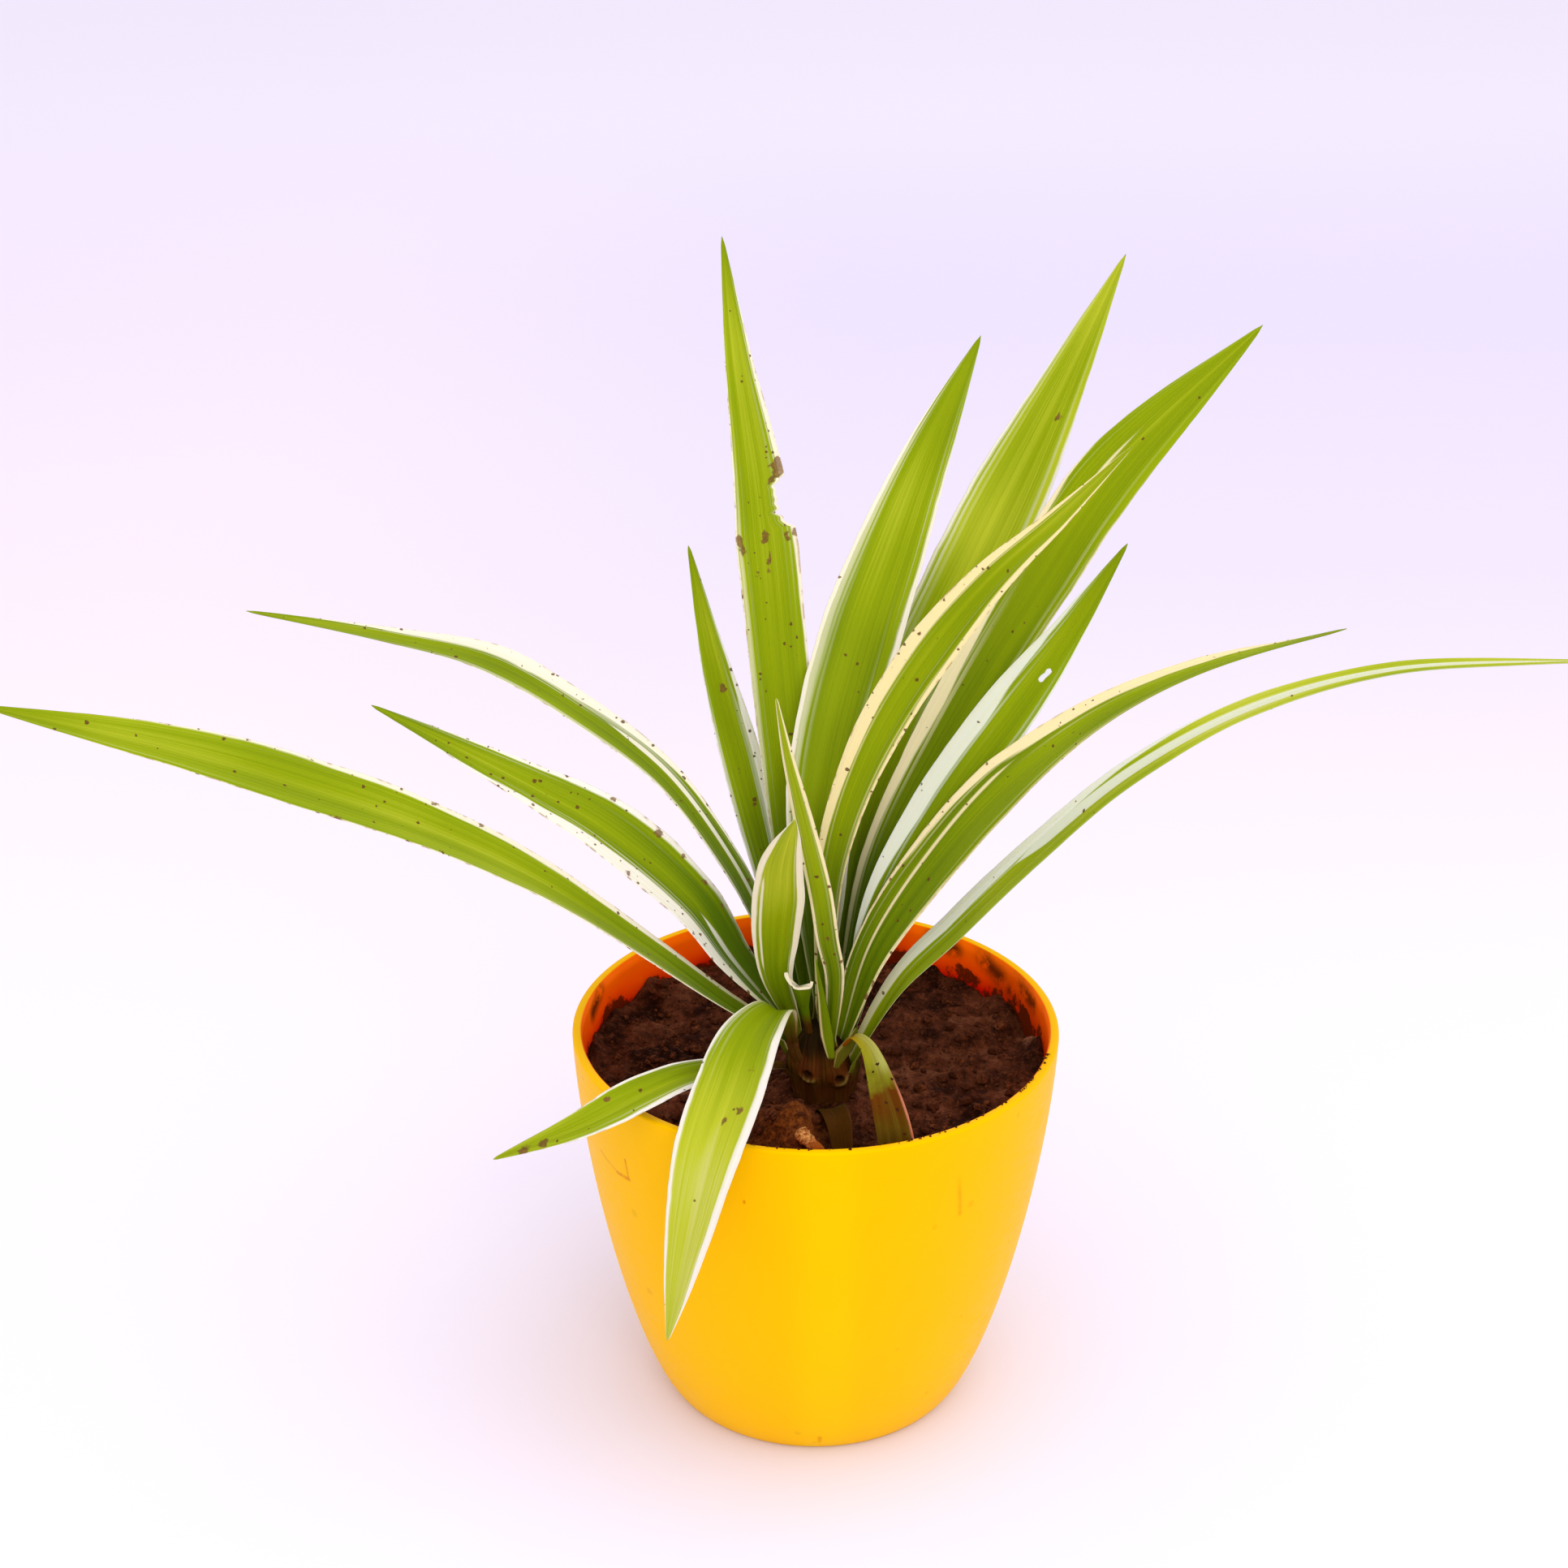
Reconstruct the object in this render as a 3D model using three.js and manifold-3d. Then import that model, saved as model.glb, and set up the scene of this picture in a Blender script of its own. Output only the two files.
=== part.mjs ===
// Variegated spider plant in a small turned plastic pot.
// Millimetres, +Z up. The origin is the centre of the pot's flat base; -Y is the side with the drooping leaf.

import * as THREE from 'three';
import { mergeVertices } from 'three/addons/utils/BufferGeometryUtils.js';
import Module from 'manifold-3d';

const wasm = await Module();
wasm.setup();

// Driving dimensions.

const GAP = 0.3; // between pieces that touch on the real plant

const POT = {
  height: 84,
  rimRadius: 50,
  baseRadius: 30.9,
  wall: 2,
  rimRound: 0.6,
  shoulder: 1.49, // the two exponents of the wall's curve
  foot: 1.39,
  sides: 48,
};

const SOIL = {
  level: 74, // mean height of the surface
  lump: { x: -5.5, y: -30, radius: 9.5, height: 8.5 }, // clod in front of the stem
};

// The short stem is a bundle of old sheaths: each ring is [height, centre x, half width, half depth].
const CROWN = {
  centreY: -12,
  rings: [
    [66, 1.5, 6.2, 5.4],
    [77, 1.5, 6.2, 5.4],
    [82, 1.2, 7.6, 6.4],
    [87, 0.6, 9.4, 7.4],
    [92, 0.2, 9.8, 7.4],
    [96, 0.2, 8, 6],
    [98, 0.2, 5, 3.6],
  ],
  ribs: 7,
  ribDepth: 0.05,
  sides: 28,
  scars: [[-1.8, 81.5], [4.6, 80.6]], // x and height of the two leaf scars at the front
  scarRadius: 1.9,
  scarHole: 1,
};

const BLADE = {
  thickness: 0.7,
  tipWidth: 0.9,
  rootFold: 48, // degrees that each half is raised at the root
  fold: 14, // and over most of the blade
  clasp: 0.22, // part of the length over which the root opens out
  rise: 1,
  taper: 1.7,
  across: [-1, -0.5, 0, 0.5, 1],
  steps: 14,
};

// One entry per leaf. heading: degrees from +X, seen from above, of the way the leaf leans.
// width: widest, root: at the root, wide: where along the leaf it is widest.
// rise: above 1 it widens late. taper: near 0 it narrows straight to the tip, and rounder as it grows.
// roll: degrees at the root and at the tip that the blade turns about its midrib.
// midrib: points from the root to the tip.
const LEAVES = {
  leaf_left_long: {
    heading: 192, width: 13.4, root: 6.2, wide: 0.66, rise: 1.3, taper: 0.45, roll: [15, 32],
    midrib: [[-7.5, -12.5, 87], [-18, -13, 95], [-36, -15, 111], [-54, -20, 127], [-74, -26, 141], [-95, -31, 152],
      [-117, -36, 162], [-152, -42, 174]],
  },
  leaf_left_short: {
    heading: 164, width: 15.5, root: 4.6, wide: 0.46, taper: 0.1, roll: [15, 25],
    midrib: [[-6.4, -10.2, 90], [-17, -8, 103], [-25, -5, 114], [-42, 0, 128], [-55, 3, 135], [-89, 12, 150]],
  },
  leaf_left_arching: {
    heading: 156, width: 9.3, root: 5, wide: 0.62, rise: 1.5, taper: 0.05, roll: [10, 15],
    midrib: [[-5.2, -7.8, 92.5], [-12, -4, 111], [-18, 1, 121], [-31, 10, 135.5], [-48, 20, 145], [-66, 27, 153],
      [-87, 33, 156], [-118, 40, 159]],
  },
  leaf_back_left: {
    heading: 110, width: 9.1, root: 3.8, wide: 0.52, rise: 1.4, taper: 0.45, roll: [0, 0],
    midrib: [[-3.8, -4.9, 93.5], [-9.5, 8, 114], [-15, 17, 134], [-21, 26, 154.5], [-26, 36, 175]],
  },
  leaf_back_tall: {
    heading: 100, width: 12.9, root: 4.8, wide: 0.58, rise: 0.8, taper: 0.12, roll: [0, 0],
    midrib: [[-1.6, -5.8, 94], [-5, 8, 129], [-8, 20, 159], [-11.5, 32, 189], [-16, 44, 214], [-19, 55, 234]],
    bite: { at: 0.645, span: 0.065, depth: 0.5 },
  },
  leaf_back_middle: {
    heading: 78, width: 17.6, root: 4.8, wide: 0.48, taper: 3, roll: [0, 0],
    midrib: [[1.2, -8.8, 95], [1.5, 2, 135], [9, 20, 161], [15, 31, 175], [22, 43, 190], [34, 60, 212]],
  },
  leaf_back_right_tall: {
    heading: 72, width: 17.8, root: 4.6, wide: 0.62, rise: 0.8, taper: 0.22, roll: [0, 0],
    midrib: [[4, -6.8, 94], [9, 4, 123.5], [19, 20, 148], [33, 33, 173], [43, 42.5, 191], [63, 60, 229]],
  },
  leaf_back_right_outer: {
    heading: 52, width: 14, root: 4.6, wide: 0.7, taper: 0.7, roll: [-10, -35],
    midrib: [[6, -9.4, 93], [13, -2.5, 123], [26, 7, 147], [43, 18, 172.5], [58, 25, 194], [88, 37, 221]],
  },
  leaf_right_inner: {
    heading: 12, width: 10.3, root: 4.4, wide: 0.58, rise: 1.9, taper: 0.18, roll: [-60, -50],
    midrib: [[1.6, -11.2, 95], [3, -8, 125], [9, -5, 145], [18.6, -2, 162.6], [32.4, 0, 180.7], [46, 1, 194],
      [59, 1, 208]],
  },
  leaf_right_small: {
    heading: 20, width: 11.6, root: 4.2, wide: 0.62, taper: 0.22, roll: [-40, -50],
    midrib: [[7.6, -12.3, 91.5], [13, -11, 117], [24, -7, 137], [37, -3, 155], [47, 2, 167.5], [60, 8, 186]],
  },
  leaf_right_arching: {
    heading: -4, width: 14.4, root: 6, wide: 0.46, rise: 1.3, taper: 0.03, roll: [-55, 5],
    midrib: [[5.5, -14, 88.5], [12, -14.5, 110], [26.4, -15, 132.8], [38.4, -16, 147.4], [53.2, -17, 160.6],
      [70.3, -18, 170.2], [98, -20, 179.7]],
  },
  leaf_right_long: {
    heading: -15, width: 9, root: 4.8, wide: 0.28, taper: 1.1, roll: [-35, -10],
    midrib: [[7.8, -15.6, 84], [17, -18.5, 104], [27, -21, 117], [42, -27, 137], [59, -32, 156], [79, -37, 171],
      [102, -43, 181], [140, -50, 186]],
  },
  leaf_front_narrow: {
    heading: 262, width: 4.9, root: 2.8, wide: 0.42, rise: 1.3, taper: 3, roll: [0, 0],
    midrib: [[2.9, -16.3, 89.5], [3.4, -18.3, 105], [2, -19, 113], [0.5, -20, 124], [-3, -18.5, 140], [-6, -17, 153],
      [-8, -14, 163]],
  },
  leaf_front_upright: {
    heading: 268, width: 10.5, root: 3.8, wide: 0.5, rise: 1.7, taper: 20, roll: [0, 0],
    midrib: [[-4.4, -14.4, 91], [-8, -17, 104], [-8.2, -19, 113], [-7.6, -23, 124], [-7.1, -28, 134],
      [-4.5, -38, 149]],
  },
  leaf_front_drooping: {
    heading: 241, width: 15.4, root: 4.1, wide: 0.42, rise: 1.5, taper: 3, roll: [0, 0],
    midrib: [[-5.4, -16.4, 88.5], [-7.9, -20.9, 98.6], [-12.5, -31, 98.9], [-17, -43, 92], [-21, -51, 83],
      [-24, -56, 72], [-29, -60, 48]],
  },
  leaf_left_drooping: {
    heading: 200, width: 9.6, root: 3.2, wide: 0.6, rise: 2, taper: 0.05, roll: [10, 20],
    midrib: [[-6.8, -15.2, 82], [-16, -22, 86.5], [-25.7, -30, 88.9], [-33, -35, 88.2], [-45.6, -40, 83.9],
      [-63, -41, 77]],
  },
  leaf_old_bent: {
    heading: -65, width: 8, root: 1.4, wide: 0.85, rise: 1.7, tip: 5, roll: [-20, 0],
    midrib: [[5, -18.1, 88], [7.5, -21.6, 93.1], [9.9, -24.8, 92.8], [13, -33, 87], [15, -39, 80], [15.5, -41, 70]],
  },
  leaf_half_buried: {
    heading: -70, width: 6, root: 5, wide: 0.4, tip: 3, roll: [0, 0],
    midrib: [[1.8, -24.5, 72], [2.7, -27.5, 79.8], [4, -33.5, 81], [5.4, -39.5, 74]],
  },
  leaf_cut_stub: {
    heading: 280, width: 5.6, root: 2, wide: 0.95, rise: 2, tip: 5, roll: [0, 0],
    midrib: [[-1.4, -16.4, 91], [-2.4, -18.7, 97.5], [-3.7, -21.4, 104.6]],
  },
};

const COLOURS = {
  pot: 0xffc801,
  soil: 0x3e1806,
  crown: 0x6b5a22,
  leaf: 0x96b101,
  oldLeaf: 0x9a8a3a,
};

// Meshes.

const radians = THREE.MathUtils.degToRad;

/** Indexed geometry from a list of corner triples and a list of triangles. */
function geometryOf(points, triangles) {
  const geometry = new THREE.BufferGeometry();
  geometry.setAttribute('position', new THREE.Float32BufferAttribute(points.flat(), 3));
  geometry.setIndex(triangles.flat());
  return geometry;
}

/** The manifold-3d solid of a geometry. */
function solidOf(geometry) {
  const bare = geometry.clone();
  bare.deleteAttribute('normal');
  bare.deleteAttribute('uv');
  const merged = mergeVertices(bare, 1e-4);
  return new wasm.Manifold(new wasm.Mesh({
    numProp: 3,
    vertProperties: new Float32Array(merged.attributes.position.array),
    triVerts: new Uint32Array(merged.index.array),
  }));
}

/** The geometry of the largest piece of a manifold-3d solid. */
function geometryFrom(solid) {
  const pieces = solid.decompose();
  const largest = pieces.reduce((a, b) => (a.volume() > b.volume() ? a : b));
  const mesh = largest.getMesh();
  const geometry = new THREE.BufferGeometry();
  geometry.setAttribute('position', new THREE.Float32BufferAttribute(mesh.vertProperties, 3));
  geometry.setIndex(new THREE.Uint32BufferAttribute(mesh.triVerts, 1));
  return geometry;
}

/** Closed skin over rings of equal length; each end closes on its own middle point. */
function skin(rings) {
  const count = rings[0].length;
  const points = rings.flat();
  const triangles = [];
  for (let i = 0; i + 1 < rings.length; i += 1) {
    for (let j = 0; j < count; j += 1) {
      const k = (j + 1) % count;
      const [a, b, c, d] = [i * count + j, i * count + k, (i + 1) * count + k, (i + 1) * count + j];
      triangles.push([a, b, c], [a, c, d]);
    }
  }
  const middle = (ring) => [0, 1, 2].map((axis) => ring.reduce((sum, p) => sum + p[axis], 0) / count);
  const first = points.push(middle(rings[0])) - 1;
  const last = points.push(middle(rings.at(-1))) - 1;
  const top = (rings.length - 1) * count;
  for (let j = 0; j < count; j += 1) {
    const k = (j + 1) % count;
    triangles.push([first, k, j], [last, top + j, top + k]);
  }
  return geometryOf(points, triangles);
}

/** Solid of revolution of [radius, height] points from the axis out and back to the axis. */
function turned(profile, rise = () => 0) {
  const rings = profile.slice(1, -1).map(([radius, height]) => {
    const ring = [];
    for (let j = 0; j < POT.sides; j += 1) {
      const angle = (2 * Math.PI * j) / POT.sides;
      const [x, y] = [radius * Math.cos(angle), radius * Math.sin(angle)];
      ring.push([x, y, height + rise(x, y, height)]);
    }
    return ring;
  });
  return skin(rings);
}

// Pot and soil.

/** Outer radius of the pot at a height. */
function potRadius(height) {
  const down = 1 - height / POT.height;
  const bulge = (1 - down ** POT.shoulder) ** (1 / POT.foot);
  return POT.baseRadius + (POT.rimRadius - POT.baseRadius) * bulge;
}

function pot() {
  const round = POT.rimRound;
  const outer = [0, 0.4, 1.5, 3.5, 7, 12, 19, 28, 40, 55, 70, POT.height - round].map((z) => [potRadius(z), z]);
  const inner = [POT.height - round, 70, 55, 40, 28, 19, 12, 7, 4].map((z) => [potRadius(z) - POT.wall, z]);
  const rim = [[POT.rimRadius - 0.3 * round, POT.height - 0.3 * round], [POT.rimRadius - round, POT.height],
    [POT.rimRadius - POT.wall + round, POT.height], [POT.rimRadius - POT.wall + 0.3 * round, POT.height - 0.3 * round]];
  const floor = [potRadius(POT.wall) - 2 * POT.wall, POT.wall];
  return turned([[0, 0], ...outer, ...rim, ...inner, floor, [0, POT.wall]]);
}

/** Height of the soil's surface above its mean level. */
function soilRelief(x, y) {
  const waves = 0.9 * Math.sin(0.16 * x + 0.6) * Math.cos(0.19 * y) + 0.6 * Math.sin(0.31 * x - 0.23 * y)
    + 0.4 * Math.cos(0.47 * y + 0.2 * x);
  const lump = SOIL.lump;
  const away = Math.hypot(x - lump.x, y - lump.y) / lump.radius;
  return waves + lump.height * Math.exp(-2 * away * away);
}

function soil(holes) {
  const inset = POT.wall + GAP;
  const side = [4.6, 7, 12, 19, 28, 40, 55].map((z) => [potRadius(z) - inset, z]);
  const edge = [potRadius(SOIL.level) - inset, SOIL.level];
  const top = [0.93, 0.85, 0.76, 0.66, 0.54, 0.4, 0.24].map((part) => [part * edge[0], SOIL.level]);
  const bottom = [potRadius(POT.wall) - 2 * POT.wall - GAP, POT.wall + GAP];
  const body = turned([[0, 0], bottom, ...side, edge, ...top, [0, 0]],
    (x, y, z) => (z === SOIL.level ? soilRelief(x, y) : 0));
  return geometryFrom(holes.reduce((solid, hole) => solid.subtract(hole), solidOf(body)));
}

// Crown.

/** The stem's rings, grown outwards by an amount. */
function crownBody(grow = 0) {
  const rings = CROWN.rings.map(([z, x, a, b]) => {
    const ring = [];
    for (let j = 0; j < CROWN.sides; j += 1) {
      const angle = (2 * Math.PI * j) / CROWN.sides;
      const rib = 1 + CROWN.ribDepth * Math.cos(CROWN.ribs * angle);
      ring.push([x + (a * rib + grow) * Math.cos(angle), CROWN.centreY + (b * rib + grow) * Math.sin(angle), z]);
    }
    return ring;
  });
  rings[0].forEach((point) => {
    point[2] -= grow;
  });
  return solidOf(skin(rings));
}

/** A round scar with a dimple, standing out of the front of the stem. */
function scar([x, z]) {
  const depth = 8;
  const front = CROWN.centreY - 7;
  const collar = wasm.Manifold.cylinder(depth, CROWN.scarRadius, CROWN.scarRadius * 0.85, 14);
  const hole = wasm.Manifold.cylinder(1.4, CROWN.scarHole * 0.6, CROWN.scarHole, 10).translate([0, 0, depth - 1.2]);
  return collar.subtract(hole).rotate([90, 0, 0]).translate([x, front + depth - 0.2, z]);
}

function crown(slots) {
  const whole = CROWN.scars.reduce((solid, place) => solid.add(scar(place)), crownBody());
  return geometryFrom(slots.reduce((solid, slot) => solid.subtract(slot), whole));
}

// Leaves.

/** Width of a leaf at a fraction of its length. */
function leafWidth(leaf, s) {
  if (s < leaf.wide) {
    const risen = Math.sin((Math.PI / 2) * (s / leaf.wide)) ** (leaf.rise ?? BLADE.rise);
    return leaf.root + (leaf.width - leaf.root) * risen;
  }
  const tip = leaf.tip ?? BLADE.tipWidth;
  const taper = leaf.taper ?? BLADE.taper;
  const past = (s - leaf.wide) / (1 - leaf.wide);
  return tip + (leaf.width - tip) * (1 - ((1 + taper) * past * past) / (past + taper));
}

/** How much of the right half is left at a fraction of the length, where an insect has eaten the edge. */
function bitten(leaf, s) {
  if (!leaf.bite) return 1;
  const away = Math.abs(s - leaf.bite.at) / (leaf.bite.span / 2);
  return away >= 1 ? 1 : 1 - leaf.bite.depth * Math.sqrt(1 - away * away);
}

/** Fractions of the length at which a leaf's sections stand. */
function stations(leaf) {
  const even = Array.from({ length: BLADE.steps + 1 }, (_, i) => i / BLADE.steps);
  if (!leaf.bite) return even;
  const { at, span } = leaf.bite;
  const [from, to] = [at - 0.501 * span, at + 0.501 * span];
  const local = [from, at - 0.45 * span, at - 0.25 * span, at, at + 0.25 * span, at + 0.45 * span, to];
  return [...even.filter((s) => s < from - 0.01 || s > to + 0.01), ...local].sort((a, b) => a - b);
}

/** Closed blade along a leaf's midrib, grown on all sides by an amount. */
function blade(leaf, grow = 0) {
  const curve = new THREE.CatmullRomCurve3(leaf.midrib.map((p) => new THREE.Vector3(...p)), false, 'centripetal');
  const heading = radians(leaf.heading);
  const right = new THREE.Vector3(Math.sin(heading), -Math.cos(heading), 0);
  const half = BLADE.thickness / 2 + grow;
  const sections = stations(leaf).map((s) => {
    const along = curve.getTangentAt(s);
    const place = curve.getPointAt(s);
    if (s === 0) place.addScaledVector(along, -grow);
    if (s === 1) place.addScaledVector(along, grow);
    const side = right.clone().addScaledVector(along, -right.dot(along)).normalize();
    const roll = radians(THREE.MathUtils.lerp(leaf.roll[0], leaf.roll[1], s));
    side.applyAxisAngle(along, -roll);
    const up = side.clone().cross(along);
    const fold = radians(BLADE.fold + (BLADE.rootFold - BLADE.fold) * Math.max(0, 1 - s / BLADE.clasp) ** 2);
    const reach = leafWidth(leaf, s) / 2 + grow;
    const point = (u, lift) => {
      const out = u * reach * (u > 0 ? bitten(leaf, s) : 1);
      return place.clone()
        .addScaledVector(side, out * Math.cos(fold))
        .addScaledVector(up, Math.abs(out) * Math.sin(fold) + lift)
        .toArray();
    };
    const upper = BLADE.across.map((u) => point(u, half));
    const lower = BLADE.across.map((u) => point(u, -half));
    return [upper, lower];
  });
  return bladeSkin(sections);
}

/** Joins sections of upper and lower points, with the same diagonals on both faces. */
function bladeSkin(sections) {
  const n = BLADE.across.length;
  const points = sections.flatMap(([upper, lower]) => [...upper, ...lower]);
  const at = (i, j, face) => i * 2 * n + face * n + j;
  const triangles = [];
  const quad = (a, b, c, d) => triangles.push([a, b, c], [a, c, d]);
  for (let i = 0; i + 1 < sections.length; i += 1) {
    for (let j = 0; j + 1 < n; j += 1) {
      quad(at(i, j, 0), at(i, j + 1, 0), at(i + 1, j + 1, 0), at(i + 1, j, 0));
      const [a, b, c, d] = [at(i, j, 1), at(i, j + 1, 1), at(i + 1, j + 1, 1), at(i + 1, j, 1)];
      triangles.push([a, c, b], [a, d, c]);
    }
    quad(at(i, 0, 1), at(i, 0, 0), at(i + 1, 0, 0), at(i + 1, 0, 1));
    quad(at(i, n - 1, 0), at(i, n - 1, 1), at(i + 1, n - 1, 1), at(i + 1, n - 1, 0));
  }
  const last = sections.length - 1;
  for (let j = 0; j + 1 < n; j += 1) {
    quad(at(0, j, 1), at(0, j + 1, 1), at(0, j + 1, 0), at(0, j, 0));
    quad(at(last, j, 0), at(last, j + 1, 0), at(last, j + 1, 1), at(last, j, 1));
  }
  return geometryOf(points, triangles);
}

// Assembly.

const material = (color, roughness) => new THREE.MeshStandardMaterial({ color, roughness });

function mesh(name, geometry, look) {
  const piece = new THREE.Mesh(geometry, look);
  piece.name = name;
  return piece;
}

function assemble() {
  const plant = new THREE.Group();
  plant.name = 'potted_spider_plant';
  const slots = Object.values(LEAVES).map((leaf) => solidOf(blade(leaf, GAP)));
  plant.add(mesh('pot', pot(), material(COLOURS.pot, 0.3)));
  plant.add(mesh('soil', soil([crownBody(GAP), ...slots]), material(COLOURS.soil, 0.95)));
  plant.add(mesh('crown', crown(slots), material(COLOURS.crown, 0.8)));
  for (const [name, leaf] of Object.entries(LEAVES)) {
    const colour = name.includes('old') || name.includes('buried') ? COLOURS.oldLeaf : COLOURS.leaf;
    plant.add(mesh(name, blade(leaf), material(colour, 0.5)));
  }
  return plant;
}

export default assemble();
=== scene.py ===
import math

import bpy
import numpy as np
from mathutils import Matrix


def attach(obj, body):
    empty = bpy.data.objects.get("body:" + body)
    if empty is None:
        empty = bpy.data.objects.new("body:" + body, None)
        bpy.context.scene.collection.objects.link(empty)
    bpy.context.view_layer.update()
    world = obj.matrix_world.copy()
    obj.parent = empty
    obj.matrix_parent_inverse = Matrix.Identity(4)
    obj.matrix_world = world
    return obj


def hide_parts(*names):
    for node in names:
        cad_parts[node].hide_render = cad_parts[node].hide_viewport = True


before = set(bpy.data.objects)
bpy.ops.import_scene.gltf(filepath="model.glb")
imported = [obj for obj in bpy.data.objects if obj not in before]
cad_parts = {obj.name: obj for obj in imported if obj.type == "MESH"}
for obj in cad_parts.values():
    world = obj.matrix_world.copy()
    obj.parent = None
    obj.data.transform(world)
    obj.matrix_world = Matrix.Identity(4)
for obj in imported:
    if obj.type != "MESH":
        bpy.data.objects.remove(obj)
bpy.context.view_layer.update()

# Sizes are in millimetres until a mesh is made. +Z is up and -Y is the side with the drooping leaf.
MM = 0.001
TAU = 2 * math.pi
VIEW_ANGLE, LOOKING_DOWN, SENSOR = 30, 25.35, 36  # the camera's, in degrees, and its sensor's width in mm

POT = dict(height=84.0, rim=50.0, base=30.9, wall=2.0, floor=2.0, rim_round=0.6, shoulder=1.49, foot=1.39,
           sides=200)
SOIL = dict(level=74.0, lump=(-5.5, -30.0), lump_radius=9.5, lump_height=8.5, heap_radius=10,
            heap_height=2.4, rings=150, sides=380)
# Height and cell of the noises that make clods of the soil, the first two with sharp ridges.
CLODS = ((1.9, 7.0), (1.2, 3.4), (0.5, 1.6), (0.22, 0.8))
# Degrees of fold at the root, and after clasp of the length; thickness at the middle and at the edge; radius
# of the crease; height and cell of the wave; part of the length that rounds the tip; columns of a face.
BLADE = dict(root_fold=48.0, fold=14.0, clasp=0.22, middle=0.46, edge=0.16, crease=0.35, wave=0.22,
             wave_cell=16.0, tip_round=0.012, columns=22)
RAGGED = ((0.02, 7.0, 0), (0.012, 2.2, 9))  # size, cell and seed of the noises that make the edges wander
# A sheath's place and sinking into the stem as parts of the stem's radius, width and growth as parts of the
# root's width, half thickness, rise of its edges, and how far below 0 its place in the blade's colours goes.
SHEATH = dict(rows=20, snug=0.96, sink=0.22, least=0.3, width=0.8, clasp=0.55, half_thick=0.2, edge_rise=1.2,
              colours=0.12)
# Radii of a scar's swelling, collar, hole and rust, and the heights of the first three.
SCAR = dict(swelling=2.3, collar=1.35, collar_half=0.45, hole=0.75, rust=3.8, heights=(0.9, 0.35, 1.2))
STEM_Y = -12.0
# Each ring of the stem is height, centre x, half width, half depth.
STEM_RINGS = [(66, 1.5, 6.2, 5.4), (77, 1.5, 6.2, 5.4), (82, 1.2, 7.6, 6.4), (87, 0.6, 9.4, 7.4),
              (92, 0.2, 9.8, 7.4), (96, 0.2, 8, 6), (98, 0.2, 5, 3.6)]
# The stem inside the leaf bases, in the same way.
STEM_CORE = [(66, 1.5, 6.2, 5.4), (77, 1.5, 6.4, 5.6), (81, 1.3, 7.2, 6.2), (84, 1.0, 7.2, 6.0),
             (87, 0.6, 6.2, 5.0), (89.5, 0.2, 4.4, 3.4), (90.5, 0.2, 2, 1.6)]
CHIP_LINE = [(-3.9, -36.2, 80.6), (-2.4, -37.6, 79.7), (0.2, -39.8, 78.2), (3.0, -41.6, 75.8)]
STUB_LINE = [(-1.4, -16.4, 91), (-2.4, -18.7, 97.5), (-3.5, -20.4, 104.4)]
SCARS = [(-1.7, 82.6, 0.0), (4.6, 81.4, 0.8)]  # x, height and lean of the round leaf scars at the front
LIGHT_CLOD = ((43.1, 11.0, 74.5), (47.2, 7.3, 75.0), 3.0)  # ends and reach of a lighter clod by the wall
# Faint scuffs on the pot's wall: start and end in mm, half width and strength.
SCUFFS = [((-43.4, -22.2, 67.0), (-39.7, -27.7, 65.5), 0.7, 0.4),
          ((-39.7, -27.7, 65.5), (-37.3, -31.1, 66.0), 0.8, 0.95),
          ((-38.0, -31.0, 70.5), (-37.5, -31.1, 66.6), 0.5, 0.8),
          ((27.6, -40.8, 72.7), (28.2, -39.2, 63.3), 0.9, 0.3),
          ((27.9, -39.6, 66.0), (28.2, -39.2, 63.3), 0.8, 0.3),
          ((-14.2, -47.1, 71.4), (-14.2, -47.1, 71.0), 0.5, 0.9),
          ((0.9, -33.4, 2.6), (0.9, -34.2, 4.8), 0.8, 0.6)]
# Soil smears on the inner wall below the rim: start, end and reach in mm.
SMEARS = [((36.5, 30.5, 81.5), (39.5, 26.5, 80.0), 4.0), ((43.5, 19.0, 81.0), (45.6, 13.5, 80.5), 3.5),
          ((41.0, 23.0, 78.5), (43.0, 19.0, 79.0), 3.0), ((-45.0, 15.5, 82.0), (-46.5, 11.0, 80.0), 3.5),
          ((26.0, 40.0, 82.0), (30.5, 36.5, 81.0), 3.5)]

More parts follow.
